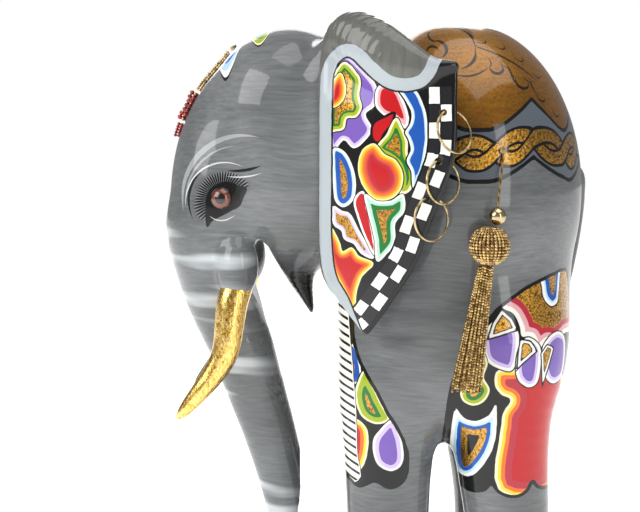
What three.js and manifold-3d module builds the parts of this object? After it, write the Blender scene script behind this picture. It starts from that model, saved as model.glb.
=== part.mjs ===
// A standing elephant figurine, carved from glued blocks of wood and lacquered.
// Millimetres. +Z is up, the head looks along -Y, the animal's left side is +X.
// The origin is on the floor, in the symmetry plane, midway between forehead and rump.

import * as THREE from 'three';
import { mergeVertices } from 'three/addons/utils/BufferGeometryUtils.js';
import Module from 'manifold-3d';

const wasm = await Module();
wasm.setup();

// ---------------------------------------------------------------- driving dimensions

const gap = 0.3;                 // glue line and running gap between neighbours
const footPad = 1.5;             // felt under each foot
const legTop = 118;              // joint plane between legs and torso
const neckPlane = { foot: [-30, 246], top: [-8, 395] };   // joint between head and torso, along y and z
const jawPlane = 250;            // joint plane between head and lower jaw
const trunkPlane = 226;          // joint plane between head and trunk

const dowelRadius = 6;
const neckDowelRadius = 9;
const earDowelRadius = 3;

const earThickness = 8;           // at the root
const earEdge = 2.7;             // and at the free edge
const earRootX = 53;             // how far out the ear starts
const earFlare = 43;             // how much further out its free edge stands
const earCurl = 30;              // distance over which it turns rearwards
const earLean = 0.0035;          // the top of the ear leans in towards the crown
const earLeanFrom = 325;
const earHoleRadius = 2.3;

const ringRadius = 12.8;         // centre line of the ear hoops
const ringWire = 0.7;
const ringTilt = 47;             // degrees between a hoop's plane and the ear
const ringShift = 2.3;           // how far a hoop hangs rearward of its hole

const eyeRadius = 8;
const tasselBallRadius = 5.4;
const cordRadius = 0.6;

// Rounded masses of the carving: centre and radii. The same masses make every cut.
const torsoMasses = [
  { at: [0, 58, 286], radii: [75, 75.5, 109] },    // barrel and croup
  { at: [0, 58, 206], radii: [72, 70, 84] },       // belly
  { at: [0, 20, 236], radii: [60, 46, 96] },       // chest
  { at: [0, 36, 340], radii: [46, 34, 52] },       // withers
  { at: [0, -12, 318], radii: [50, 56, 66] },      // neck
];
const headMasses = [
  { at: [0, -57, 337], radii: [56, 53, 57.5] },    // skull
  { at: [0, -98, 276], radii: [42, 37.5, 84] },    // face and root of the trunk
  { at: [0, -50, 292], radii: [60, 48, 56] },      // cheeks
  { at: [0, -12, 318], radii: [50, 56, 66] },      // neck
  { at: [43, -31, 322], radii: [16, 15, 62] },     // root of each ear
];
const tuskSheath = { at: [36, -89, 241], radii: [14, 13.5, 21] };
const blend = 14;                // how softly the masses run together

// Legs, trunk and tusks: stations of centre line, half width across and half depth.
const frontLeg = [
  { at: [38, 9, footPad], half: [25, 27] },
  { at: [38, 9, 10], half: [26, 28] },
  { at: [38, 8, 28], half: [23.5, 26] },
  { at: [38, 7.5, 70], half: [23, 26] },
  { at: [38, 7.5, 120], half: [26, 28.5] },
  { at: [36, 11, 170], half: [31, 36] },
  { at: [30, 16, 215], half: [28, 36] },
];
const rearLeg = [
  { at: [38, 84, footPad], half: [25, 28] },
  { at: [38, 84, 10], half: [26, 29] },
  { at: [38, 84, 30], half: [23.5, 25.5] },
  { at: [38, 84, 75], half: [24, 26.5] },
  { at: [38, 80, 120], half: [28, 29.5] },
  { at: [37, 79.5, 150], half: [31.5, 32] },
  { at: [35, 79.5, 180], half: [34, 36.5] },
  { at: [31, 76, 205], half: [32, 35.5] },
  { at: [26, 70, 235], half: [26, 30] },
];
const trunkLine = [
  { at: [0, -104, 262], half: [32, 33] },
  { at: [0, -105, 240], half: [27, 25.5] },
  { at: [0, -97, 205], half: [23.5, 23] },
  { at: [0, -88, 180], half: [21.5, 21.2] },
  { at: [0, -78, 148], half: [18.5, 19] },
  { at: [0, -71, 126], half: [17, 17.6] },
  { at: [0, -62, 92], half: [15.5, 15.8] },
  { at: [0, -57, 60], half: [14, 14] },
  { at: [0, -59, 34], half: [12.5, 12.5] },
  { at: [0, -69, 18], half: [11, 11] },
  { at: [0, -83, 15.5], half: [10, 9.8] },
  { at: [0, -94, 23], half: [9, 8.6] },
  { at: [0, -97, 30], half: [7.6, 7] },
];
const tuskLine = [
  { at: [35.5, -88, 238], half: [7, 7] },
  { at: [36.5, -88.6, 230], half: [9.6, 9.6] },
  { at: [38.5, -92, 218], half: [10, 10] },
  { at: [40.5, -93.6, 205], half: [9.4, 9.4] },
  { at: [42, -95, 193], half: [8.9, 8.9] },
  { at: [43, -98, 183], half: [8.2, 8.2] },
  { at: [44, -104, 173], half: [7.2, 7.2] },
  { at: [45, -110.5, 164.5], half: [6.3, 6.3] },
  { at: [45, -117.5, 156], half: [5.2, 5.2] },
  { at: [45, -123, 149.5], half: [3.8, 3.8] },
  { at: [45, -126.5, 145.5], half: [1.8, 1.8] },
];
const jawLine = [
  { at: [0, -57, 264], half: [31, 20] },
  { at: [0, -57, 250], half: [27, 18.5] },
  { at: [0, -53, 238], half: [21, 13] },
  { at: [0, -49, 224], half: [13, 7.5] },
  { at: [0, -45, 212], half: [7, 4] },
  { at: [0, -43, 205.5], half: [3, 2] },
];
const tailLine = [
  { at: [0, 120, 304], half: [4, 4] },
  { at: [0, 131.2, 299], half: [5, 4.6] },
  { at: [0, 133.4, 284], half: [4.6, 3.8] },
  { at: [0, 131.6, 262], half: [4.2, 3.6] },
  { at: [0, 128, 240], half: [4, 3.6] },
  { at: [0, 123.5, 218], half: [4.4, 3.8] },
  { at: [0, 120.5, 200], half: [7, 4.4] },
  { at: [0, 118.5, 184], half: [6.4, 4] },
  { at: [0, 117.5, 172], half: [1.6, 1.4] },
];

// The ear is a thin leaf. Each row: height, front edge, rear edge.
const earRows = [
  [206, -9.5, -7],
  [213, -14.5, -2],
  [222, -22, 4.5],
  [232, -30, 10.5],
  [241, -34.6, 16.5],
  [253, -35.5, 22.6],
  [270, -35.5, 28],
  [287, -35.5, 34.2],
  [305, -35.5, 41],
  [315, -35.5, 43.3],
  [338, -35.5, 43.3],
  [359, -35.5, 43.3],
  [364, -35, 37],
  [371, -34, 24],
  [380, -31, 6],
  [386, -27, -4],
  [390, -22, -12],
];
// The rim rolls outwards along the front edge and over the top of the leaf.
const earRoll = [
  { at: [-30, 238], half: [3, 3] },
  { at: [-32, 262], half: [4.2, 3.6] },
  { at: [-32, 310], half: [4.6, 3.8] },
  { at: [-32, 342], half: [5, 4] },
  { at: [-30, 364], half: [5.6, 5.4] },
  { at: [-24.5, 378.5], half: [6.8, 10] },
  { at: [-16.5, 382.5], half: [7.2, 14.5] },
  { at: [-6, 376.5], half: [7.2, 16] },
  { at: [5, 369.2], half: [7, 15] },
  { at: [14, 365], half: [6.4, 12.4] },
  { at: [23, 362.6], half: [5.4, 8.6] },
  { at: [31, 363], half: [4.4, 4.6] },
  { at: [38, 364], half: [3.4, 2.6] },
  { at: [42, 364], half: [2.2, 1.5] },
];
// Pierced holes near the rear edge of the ear, with each hoop's lean away from straight down.
const hoops = [
  { y: 35.6, z: 337, lean: 22 },
  { y: 32.5, z: 309, lean: 7 },
  { y: 26.2, z: 287.5, lean: 6 },
];

const eyePlace = { y: -97.5, z: 284.5, sunk: 4 };
const tasselPin = { y: 73, z: 315, head: 2, shank: 0.9, depth: 8 };
const tasselPoints = {
  ballY: 68.5, ballZ: 276.5, headY: 63.8, headZ: 259.5, skirtTop: 247.6, skirtEnd: 168,
};
const tasselHead = { radius: 12.4, height: 22.5, roundness: 1.15 };
// The skirt of strings: how far its foot hangs forward, and its half width down its length.
const skirt = { lean: 11.5, half: [[0, 5], [0.15, 5.6], [0.5, 7.2], [0.85, 8.8], [1, 8.6]] };

// Forehead jewellery lies over the mid-line. Each piece runs between two directions, in degrees
// above straight ahead seen from the middle of the skull, with half width and half depth.
const brow = {
  skull: [0, -62, 312],
  lift: 0.4,
  pin: { angle: 65.5, deep: 5, proud: 2.4, radius: 2.2 },
  chain: { from: 62.5, to: 37, half: [[2.4, 1.4], [2.8, 1.6], [3, 1.6], [2.8, 1.6]] },
  stones: { from: 35.4, to: 18.5, half: [[3.6, 2.2], [6, 3.4], [6.4, 3.8], [6, 3.6], [3.4, 2]] },
  drop: { from: 16.8, to: 9, half: [[2.6, 1.6], [3.4, 2.2], [3.2, 2], [1.6, 1]] },
};

// ---------------------------------------------------------------- finishes

const finish = (color, roughness, metalness) =>
  new THREE.MeshStandardMaterial({ color, roughness, metalness });
const lacquerGrey = () => finish('#7e8285', 0.28, 0);
const goldLeaf = () => finish('#d8a437', 0.3, 1);
const bareWood = () => finish('#c09a6b', 0.7, 0);
const brass = () => finish('#c9b26a', 0.25, 1);
const beadGold = () => finish('#b08a3c', 0.35, 0.7);
const redGlass = () => finish('#c8261c', 0.15, 0);
const eyeGlass = () => finish('#6b2d10', 0.05, 0);
const felt = () => finish('#3b3d3c', 0.95, 0);
const thread = () => finish('#a98a4a', 0.8, 0);

const elephant = new THREE.Group();

function addPart(name, geometry, material) {
  const mesh = new THREE.Mesh(geometry, material);
  mesh.name = name;
  elephant.add(mesh);
}

// ---------------------------------------------------------------- solids and cuts

function toSolid(geometry) {
  const bare = geometry.index ? geometry.clone() : mergeVertices(geometry.clone());
  bare.deleteAttribute('normal');
  bare.deleteAttribute('uv');
  const merged = mergeVertices(bare, 1e-4);
  return new wasm.Manifold(new wasm.Mesh({
    numProp: 3,
    vertProperties: new Float32Array(merged.attributes.position.array),
    triVerts: new Uint32Array(merged.index.array),
  }));
}

function toGeometry(solid) {
  const mesh = solid.getMesh();
  const geometry = new THREE.BufferGeometry();
  geometry.setAttribute('position', new THREE.BufferAttribute(mesh.vertProperties, 3));
  geometry.setIndex(new THREE.BufferAttribute(mesh.triVerts, 1));
  return geometry;
}

function box(low, high) {
  const size = high.map((value, i) => value - low[i]);
  const geometry = new THREE.BoxGeometry(...size);
  geometry.translate(...low.map((value, i) => value + size[i] / 2));
  return toSolid(geometry);
}

// A round bar from one point to another.
function rod(from, to, radius, sides = 14) {
  const start = new THREE.Vector3(...from);
  const run = new THREE.Vector3(...to).sub(start);
  const geometry = new THREE.CylinderGeometry(radius, radius, run.length(), sides);
  const turn = new THREE.Quaternion().setFromUnitVectors(
    new THREE.Vector3(0, 1, 0), run.clone().normalize());
  geometry.applyQuaternion(turn);
  geometry.translate(...start.addScaledVector(run, 0.5));
  return geometry;
}

// Rough distance to an ellipsoid, negative inside. The carving is symmetric, so x is folded.
function ellipsoid(x, y, z, { at, radii }) {
  const p = [Math.abs(x) - at[0], y - at[1], z - at[2]];
  const scaled = Math.hypot(...p.map((value, i) => value / radii[i]));
  const slope = Math.hypot(...p.map((value, i) => value / radii[i] ** 2));
  return slope > 0 ? scaled * (scaled - 1) / slope : -Math.min(...radii);
}

function softMin(a, b, reach) {
  const overlap = Math.max(reach - Math.abs(a - b), 0) / reach;
  return Math.min(a, b) - overlap * overlap * reach / 4;
}

const field = (masses) => (x, y, z) =>
  masses.map((mass) => ellipsoid(x, y, z, mass)).reduce((a, b) => softMin(a, b, blend));

// Distance along a ray from a point inside the field to its surface.
function reachOf(shape, from, along, most) {
  let near = 0;
  let far = most;
  for (let i = 0; i < 40; i++) {
    const middle = (near + far) / 2;
    const inside = shape(...from.map((value, k) => value + along[k] * middle)) < 0;
    if (inside) near = middle;
    else far = middle;
  }
  return near;
}

// A sphere whose points slide out along their rays until they lie on the surface.
function shellOn(shape, centre, around, rows) {
  const shell = new THREE.SphereGeometry(1, around, rows);
  shell.rotateX(Math.PI / 2);
  const points = shell.attributes.position;
  for (let i = 0; i < points.count; i++) {
    const along = new THREE.Vector3().fromBufferAttribute(points, i).normalize().toArray();
    const reach = reachOf(shape, centre, along, 260);
    points.setXYZ(i, ...centre.map((value, k) => value + along[k] * reach));
  }
  return toSolid(shell);
}

// A body swept through stations: a cylinder bent onto their centre line.
// Each section's width lies along X and its depth across the line.
function loft(stations, sides, rows, grow = 0) {
  const line = new THREE.CatmullRomCurve3(stations.map(({ at }) => new THREE.Vector3(...at)));
  const size = new THREE.CatmullRomCurve3(
    stations.map(({ half }) => new THREE.Vector3(half[0] + grow, half[1] + grow, 0)));
  const geometry = new THREE.CylinderGeometry(1, 1, 1, sides, rows);
  const points = geometry.attributes.position;
  for (let i = 0; i < points.count; i++) {
    const u = points.getY(i) + 0.5;
    const centre = line.getPoint(u);
    const along = line.getTangent(u);
    const side = new THREE.Vector3(1, 0, 0).addScaledVector(along, -along.x).normalize();
    const depth = new THREE.Vector3().crossVectors(along, side);
    const half = size.getPoint(u);
    centre.addScaledVector(side, points.getX(i) * half.x);
    centre.addScaledVector(depth, -points.getZ(i) * half.y);
    points.setXYZ(i, centre.x, centre.y, centre.z);
  }
  return geometry;
}

const mirrored = (at) => [-at[0], at[1], at[2]];
const mirrorStations = (stations) => stations.map(({ at, half }) => ({ at: mirrored(at), half }));

// ---------------------------------------------------------------- head, trunk and jaw

const headField = field(headMasses);
const torsoField = field(torsoMasses);
const far = 400;

const headShell = shellOn(headField, brow.skull, 30, 20);
const trunkSolid = toSolid(loft(trunkLine, 14, 20));
const jawSolid = toSolid(loft(jawLine, 12, 5));
const carvedHead = headShell.add(trunkSolid);
const headClearance = shellOn((x, y, z) => headField(x, y, z) - 4 * gap, brow.skull, 30, 20);
const sheaths = [1, -1].map((side) => {
  const shell = new THREE.SphereGeometry(1, 18, 12);
  shell.scale(...tuskSheath.radii);
  shell.translate(side * tuskSheath.at[0], tuskSheath.at[1], tuskSheath.at[2]);
  return toSolid(shell);
}).reduce((a, b) => a.add(b));

// A block across the whole width, from an outline of [y, z] points.
function slab(outline) {
  const shape = new THREE.Shape(outline.map(([y, z]) => new THREE.Vector2(y, z)));
  const geometry = new THREE.ExtrudeGeometry(shape, { depth: 2 * far, bevelEnabled: false });
  geometry.rotateY(Math.PI / 2);
  geometry.rotateX(Math.PI / 2);
  geometry.translate(-far, 0, 0);
  return toSolid(geometry);
}

// The open mouth, between the back of the trunk and the front of the jaw.
const mouthBack = [
  [-74, 258], [-79.5, 256], [-82.5, 249], [-83, 243], [-82.5, trunkPlane], [-66.5, 190],
];
const jawFront = [[-42.8, 204.4], [-57.5, 226], [-64, 241]];
const mouth = slab([...mouthBack, [-40, 190], ...jawFront, [-69.5, 253.5]]);
const belowHead = slab([
  [far, jawPlane], [-79.5, jawPlane], [-83, 243], [-82.5, trunkPlane],
  [-far, trunkPlane], [-far, -far], [far, -far],
]);
const neckRun = new THREE.Vector2(...neckPlane.top).sub(new THREE.Vector2(...neckPlane.foot));
const neckSlope = neckRun.x / neckRun.y;
// A point on the neck joint at a height, moved fore or aft.
const neckAt = (z, aft) => [neckPlane.foot[0] + (z - neckPlane.foot[1]) * neckSlope + aft, z];
const behindNeck = slab([neckAt(150, -gap), [far, 150], [far, far], neckAt(far, -gap)]);
const beforeNeck = slab([neckAt(150, gap), neckAt(far, gap), [-far, far], [-far, 150]]);
const trunkBlock = slab([
  [-82.5, trunkPlane - gap], [-66.5, 190], [-66.5, -far], [-far, -far], [-far, trunkPlane - gap],
]);
const trunkBelow = box([-far, -far, -far], [far, far, 190]);
const aboveTrunk = box([-far, -far, trunkPlane], [far, far, far]);
const jawBlock = slab([
  [-67.8, jawPlane - gap], ...jawFront.toReversed(), [-42, 200], [-38, 200], [-31, jawPlane - gap],
]);

const neckDowel = { from: [0, -48, 322], to: [0, 22, 322] };
const trunkDowel = { from: [0, -103, 206], to: [0, -106, 246] };
const jawDowel = { from: [0, -51, 236], to: [0, -53, 266] };

const socket = ({ from, to }, radius) => toSolid(rod(from, to, radius + gap));
const tusks = { left: tuskLine, right: mirrorStations(tuskLine) };
const tuskSockets = Object.values(tusks)
  .map((stations) => toSolid(loft(stations, 10, 12, gap)))
  .reduce((a, b) => a.add(b));

// Where a ray straight out to the left side leaves a field.
const sideAt = (shape, y, z) => reachOf(shape, [0, y, z], [1, 0, 0], 160);

const eyeX = sideAt(headField, eyePlace.y, eyePlace.z) - eyePlace.sunk;
const eyeCentres = {
  left: [eyeX, eyePlace.y, eyePlace.z],
  right: [-eyeX, eyePlace.y, eyePlace.z],
};

function ball(centre, radius, around = 16, rows = 10) {
  const geometry = new THREE.SphereGeometry(radius, around, rows);
  geometry.translate(...centre);
  return geometry;
}

const earFront = -36;
const earX = (y, z) => earRootX
  + earFlare * (1 - Math.exp((earFront - Math.max(y, earFront)) / earCurl))
  - earLean * Math.max(z - earLeanFrom, 0) ** 2;
const earPeg = { y: -27, z: 325 };
const earPegs = {
  left: { from: [38, earPeg.y, earPeg.z], to: [earX(earPeg.y, earPeg.z), earPeg.y, earPeg.z] },
  right: { from: [-38, earPeg.y, earPeg.z], to: [-earX(earPeg.y, earPeg.z), earPeg.y, earPeg.z] },
};

// ---------------------------------------------------------------- forehead jewellery

// A place over the mid-line of the forehead: degrees above straight ahead, height off the wood.
function browPoint(degrees, off) {
  const turn = THREE.MathUtils.degToRad(degrees);
  const along = [0, -Math.cos(turn), Math.sin(turn)];
  const reach = reachOf(headField, brow.skull, along, far / 2) + off;
  return brow.skull.map((value, k) => value + along[k] * reach);
}

function browStrip({ from, to, half }) {
  return half.map((size, i) => {
    const angle = THREE.MathUtils.lerp(from, to, i / (half.length - 1));
    return { at: browPoint(angle, brow.lift + size[1]), half: size };
  });
}

const foreheadPin = {
  from: browPoint(brow.pin.angle, -brow.pin.deep),
  to: browPoint(brow.pin.angle, brow.pin.proud),
};

// ---------------------------------------------------------------- head block

let headBlock = carvedHead.subtract(belowHead).subtract(mouth)
  .subtract(behindNeck)
  .add(sheaths.intersect(aboveTrunk));
headBlock = headBlock.subtract(socket(neckDowel, neckDowelRadius))
  .subtract(socket(trunkDowel, dowelRadius))
  .subtract(socket(jawDowel, dowelRadius))
  .subtract(socket(foreheadPin, brow.pin.radius))
  .subtract(tuskSockets);
for (const peg of Object.values(earPegs)) {
  headBlock = headBlock.subtract(toSolid(rod(peg.from, peg.to, earDowelRadius + gap, 12)));
}
for (const centre of Object.values(eyeCentres)) {
  headBlock = headBlock.subtract(toSolid(ball(centre, eyeRadius + gap)));
}

let trunk = carvedHead.intersect(trunkBlock).add(trunkSolid.intersect(trunkBelow));
trunk = trunk.subtract(socket(trunkDowel, dowelRadius)).subtract(tuskSockets);

let jaw = headShell.add(jawSolid).intersect(jawBlock);
jaw = jaw.subtract(socket(jawDowel, dowelRadius));

// ---------------------------------------------------------------- ears

// One leaf: a thin band at each height, thick at its root and thin at its free edge.
function earLeaf() {
  const rows = earRows.length - 1;
  const geometry = new THREE.CylinderGeometry(1, 1, 1, 20, rows);
  const points = geometry.attributes.position;
  for (let i = 0; i < points.count; i++) {
    const row = Math.round((points.getY(i) + 0.5) * rows);
    const [z, front, rear] = earRows[row];
    const across = points.getX(i);
    const y = (front + rear) / 2 + across * (rear - front) / 2;
    const thin = THREE.MathUtils.smoothstep(y, -20, 30);
    const half = THREE.MathUtils.lerp(earThickness, earEdge, thin) / 2;
    const lift = Math.sign(points.getZ(i)) * Math.sqrt(Math.abs(points.getZ(i))) * half;
    points.setXYZ(i, earX(y, z) + lift, y, z);
  }
  return toSolid(geometry);
}

const rollStations = earRoll.map(({ at: [y, z], half }) => (
  { at: [earX(y, z) + half[0] * 0.5, y, z], half }));
const earHoles = hoops
  .map(({ y, z }) => toSolid(rod([far / 8, y, z], [far / 3, y, z], earHoleRadius)))
  .reduce((a, b) => a.add(b));
const leftEar = earLeaf()
  .add(toSolid(loft(rollStations, 10, 16)))
  .subtract(earHoles)
  .subtract(headClearance)
  .subtract(toSolid(rod(earPegs.left.from, earPegs.left.to, earDowelRadius + gap, 12)));
const rightEar = leftEar.mirror([1, 0, 0]);

// ---------------------------------------------------------------- torso and legs

const torsoShell = shellOn(torsoField, [0, 52, 262], 32, 24);
const legs = {
  front_left: frontLeg,
  front_right: mirrorStations(frontLeg),
  rear_left: rearLeg,
  rear_right: mirrorStations(rearLeg),
};
const legSolids = {};
const legDowels = {};
for (const [name, stations] of Object.entries(legs)) {
  legSolids[name] = toSolid(loft(stations, 18, 12));
  const [x, y] = stations[4].at;
  legDowels[name] = { from: [x, y, legTop - 22], to: [x, y, legTop + 22] };
}
const pinX = sideAt(torsoField, tasselPin.y, tasselPin.z);
const pinHoles = [-1, 1]
  .map((side) => socket({
    from: [side * (pinX - tasselPin.depth), tasselPin.y, tasselPin.z],
    to: [side * (pinX + 5), tasselPin.y, tasselPin.z],
  }, tasselPin.shank))
  .reduce((a, b) => a.add(b));
const tailSolid = toSolid(loft(tailLine, 8, 12));

let torso = Object.values(legSolids).reduce((a, b) => a.add(b), torsoShell)
  .intersect(box([-far, -far, legTop + gap], [far, far, far]))
  .subtract(beforeNeck)
  .subtract(socket(neckDowel, neckDowelRadius))
  .subtract(pinHoles)
  .subtract(toSolid(loft(tailLine, 8, 12, gap)));
for (const dowel of Object.values(legDowels)) {
  torso = torso.subtract(socket(dowel, dowelRadius));
}

// ---------------------------------------------------------------- tassels

const tasselX = sideAt(torsoField, tasselPoints.headY, tasselPoints.headZ)
  + tasselHead.radius + 1;

function tasselParts(side) {
  const mirror = (point) => [side * point[0], point[1], point[2]];
  const { y, z, head, shank, depth } = tasselPin;
  const neck = pinX + head;
  const pin = toSolid(rod(mirror([pinX - depth, y, z]), mirror([neck, y, z]), shank, 10))
    .add(toSolid(rod(mirror([neck - 0.6, y, z]), mirror([neck + 0.7, y, z]), head, 14)));
  const ballCentre = mirror([tasselX - 2, tasselPoints.ballY, tasselPoints.ballZ]);
  const cordTop = mirror([pinX + 1.4, y, z - head - gap]);
  const cordEnd = ballCentre.map((value, i) => value + (i === 2 ? tasselBallRadius + gap : 0));
  const headCentre = mirror([tasselX, tasselPoints.headY, tasselPoints.headZ]);
  return { pin, ballCentre, cordTop, cordEnd, headCentre, mirror };
}

// The cord leaves the pin, bends over the flank and drops to the ball.
function cordGeometry({ cordTop, cordEnd }) {
  const top = new THREE.Vector3(...cordTop);
  const end = new THREE.Vector3(...cordEnd);
  const bow = top.clone().lerp(end, 0.5).add(new THREE.Vector3(Math.sign(top.x) * 0.6, 0, 0));
  const section = new THREE.Shape();
  section.absarc(0, 0, cordRadius, 0, 2 * Math.PI);
  return new THREE.ExtrudeGeometry(section, {
    steps: 10, curveSegments: 4, bevelEnabled: false,
    extrudePath: new THREE.CatmullRomCurve3([top, bow, end]),
  });
}

// The bead-covered head: a round knob with flat ends.
function tasselHeadGeometry(centre) {
  const { radius, height, roundness } = tasselHead;
  const steps = 6;
  const profile = [new THREE.Vector2(0, -height / 2)];
  for (let i = 0; i <= steps; i++) {
    const turn = THREE.MathUtils.lerp(-roundness, roundness, i / steps);
    const rise = height / 2 * Math.sin(turn) / Math.sin(roundness);
    profile.push(new THREE.Vector2(radius * Math.cos(turn), rise));
  }
  profile.push(new THREE.Vector2(0, height / 2));
  const geometry = new THREE.LatheGeometry(profile, 16);
  geometry.rotateX(Math.PI / 2);
  geometry.translate(...centre);
  return geometry;
}

// The skirt of bead strings, narrow at the neck and flaring to its loose ends.
function skirtStations(mirror) {
  const { headY, skirtTop, skirtEnd } = tasselPoints;
  return skirt.half.map(([u, half]) => {
    const z = THREE.MathUtils.lerp(skirtTop - gap, skirtEnd, u);
    return { at: mirror([tasselX - u, headY - 2 - skirt.lean * u, z]), half: [half, half] };
  });
}

// ---------------------------------------------------------------- hoops in the ears

// The hoop passes through its hole and round the free edge of the ear.
function hoopGeometry({ y, z, lean }) {
  const flare = Math.atan(earFlare / earCurl * Math.exp((earFront - y) / earCurl));
  const [droop, tilt] = [lean, ringTilt].map(THREE.MathUtils.degToRad);
  const outward = new THREE.Vector3(Math.cos(flare), -Math.sin(flare), 0);
  const rearward = new THREE.Vector3(Math.sin(flare), Math.cos(flare), 0);
  const down = rearward.clone().multiplyScalar(Math.sin(droop));
  down.z = -Math.cos(droop);
  const level = rearward.clone().multiplyScalar(Math.cos(droop));
  level.z = Math.sin(droop);
  const across = level.multiplyScalar(Math.cos(tilt)).addScaledVector(outward, -Math.sin(tilt));
  const normal = new THREE.Vector3().crossVectors(across, down);
  const centre = new THREE.Vector3(earX(y, z), y, z)
    .addScaledVector(down, Math.sqrt(ringRadius ** 2 - ringShift ** 2))
    .addScaledVector(across, ringShift);
  const geometry = new THREE.TorusGeometry(ringRadius, ringWire, 6, 24);
  geometry.applyMatrix4(new THREE.Matrix4().makeBasis(across, down, normal));
  geometry.translate(...centre);
  return geometry;
}

// ---------------------------------------------------------------- assembly

const mirrorGeometry = (geometry) => toGeometry(toSolid(geometry).mirror([1, 0, 0]));

addPart('torso', toGeometry(torso), lacquerGrey());
addPart('head', toGeometry(headBlock), lacquerGrey());
addPart('trunk', toGeometry(trunk), lacquerGrey());
addPart('lower_jaw', toGeometry(jaw), lacquerGrey());
addPart('neck_dowel', rod(neckDowel.from, neckDowel.to, neckDowelRadius), bareWood());
addPart('trunk_dowel', rod(trunkDowel.from, trunkDowel.to, dowelRadius), bareWood());
addPart('jaw_dowel', rod(jawDowel.from, jawDowel.to, dowelRadius), bareWood());
addPart('tail', toGeometry(tailSolid), lacquerGrey());

for (const [name, solid] of Object.entries(legSolids)) {
  const [x, y] = legs[name][0].at;
  const lower = solid.intersect(box([-far, -far, 0], [far, far, legTop]))
    .subtract(socket(legDowels[name], dowelRadius));
  addPart(`leg_${name}`, toGeometry(lower), lacquerGrey());
  addPart(`leg_dowel_${name}`, rod(legDowels[name].from, legDowels[name].to, dowelRadius), bareWood());
  const pad = rod([x, y, 0], [x, y, footPad - gap / 2], 20, 28);
  addPart(`felt_pad_${name}`, pad, felt());
}

addPart('ear_left', toGeometry(leftEar), lacquerGrey());
addPart('ear_right', toGeometry(rightEar), lacquerGrey());
for (const [side, { from, to }] of Object.entries(earPegs)) {
  addPart(`ear_peg_${side}`, rod(from, to, earDowelRadius, 12), bareWood());
}
for (const [side, stations] of Object.entries(tusks)) {
  addPart(`tusk_${side}`, toGeometry(toSolid(loft(stations, 10, 12))), goldLeaf());
  addPart(`eye_${side}`, ball(eyeCentres[side], eyeRadius), eyeGlass());
}
hoops.forEach((hoop, i) => {
  const geometry = hoopGeometry(hoop);
  addPart(`ear_hoop_left_${i + 1}`, toGeometry(toSolid(geometry)), brass());
  addPart(`ear_hoop_right_${i + 1}`, mirrorGeometry(geometry), brass());
});

for (const [side, sign] of [['left', 1], ['right', -1]]) {
  const tassel = tasselParts(sign);
  addPart(`tassel_pin_${side}`, toGeometry(tassel.pin), brass());
  addPart(`tassel_cord_${side}`, cordGeometry(tassel), thread());
  addPart(`tassel_ball_${side}`, ball(tassel.ballCentre, tasselBallRadius, 14, 8), brass());
  addPart(`tassel_head_${side}`, tasselHeadGeometry(tassel.headCentre), beadGold());
  addPart(`tassel_strings_${side}`, loft(skirtStations(tassel.mirror), 12, 6), beadGold());
}

addPart('forehead_pin', rod(foreheadPin.from, foreheadPin.to, brow.pin.radius, 12), brass());
addPart('forehead_chain', loft(browStrip(brow.chain), 10, 8), beadGold());
addPart('forehead_stones', loft(browStrip(brow.stones), 12, 10), redGlass());
addPart('forehead_drop', loft(browStrip(brow.drop), 10, 6), redGlass());

export default elephant;
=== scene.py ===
import math
import random

import bmesh
import bpy
import numpy as np
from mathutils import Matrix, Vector


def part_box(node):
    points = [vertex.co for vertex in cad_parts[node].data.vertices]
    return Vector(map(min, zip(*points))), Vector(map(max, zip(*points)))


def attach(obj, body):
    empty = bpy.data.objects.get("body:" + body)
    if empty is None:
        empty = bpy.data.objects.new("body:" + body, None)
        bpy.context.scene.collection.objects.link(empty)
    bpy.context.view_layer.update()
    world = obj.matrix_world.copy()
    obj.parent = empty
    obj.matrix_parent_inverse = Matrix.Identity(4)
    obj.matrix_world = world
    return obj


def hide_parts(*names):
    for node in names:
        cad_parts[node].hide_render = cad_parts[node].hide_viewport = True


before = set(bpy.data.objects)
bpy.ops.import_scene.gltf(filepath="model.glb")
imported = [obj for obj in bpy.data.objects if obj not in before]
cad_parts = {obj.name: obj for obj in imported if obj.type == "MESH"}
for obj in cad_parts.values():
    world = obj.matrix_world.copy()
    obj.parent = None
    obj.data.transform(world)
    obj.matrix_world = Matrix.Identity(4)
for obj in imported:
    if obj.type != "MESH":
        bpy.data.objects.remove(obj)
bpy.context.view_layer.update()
mm = 0.001
random.seed(7)


# ---- camera: three quarters of a metre off the left side, a little above the eye, looking slightly down
cameraSet = {
    "at": (758.2, -25.6, 323.5),      # mm
    "turn": 0.857,                    # degrees towards the head
    "tip": 5.97,                      # degrees down
    "lens": 64.6,                     # mm on a 36 mm sensor
}
cameraData = bpy.data.cameras.new("camera")
cameraData.lens = cameraSet["lens"]
cameraData.sensor_width = 36
cameraData.clip_start = 0.02
camera = bpy.data.objects.new("camera", cameraData)
camera.location = [value * mm for value in cameraSet["at"]]
camera.rotation_euler = (math.radians(90 - cameraSet["tip"]), 0, math.radians(90 + cameraSet["turn"]))
bpy.context.collection.objects.link(camera)
bpy.context.scene.camera = camera
print("camera set")


# ---- small helpers
def hexToLinear(code):
    values = [int(code[i:i + 2], 16) / 255 for i in (1, 3, 5)]
    return tuple(v / 12.92 if v <= 0.04045 else ((v + 0.055) / 1.055) ** 2.4 for v in values) + (1.0,)


def addNode(tree, kind, settings=None, links=None):
    # one node with its settings; a key that isn't a property is an input socket
    node = tree.nodes.new(kind)
    for key, value in (settings or {}).items():
        if isinstance(key, str) and hasattr(node, key):
            setattr(node, key, value)
        else:
            node.inputs[key].default_value = value
    for key, source in (links or {}).items():
        tree.links.new(source, node.inputs[key])
    return node


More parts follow.
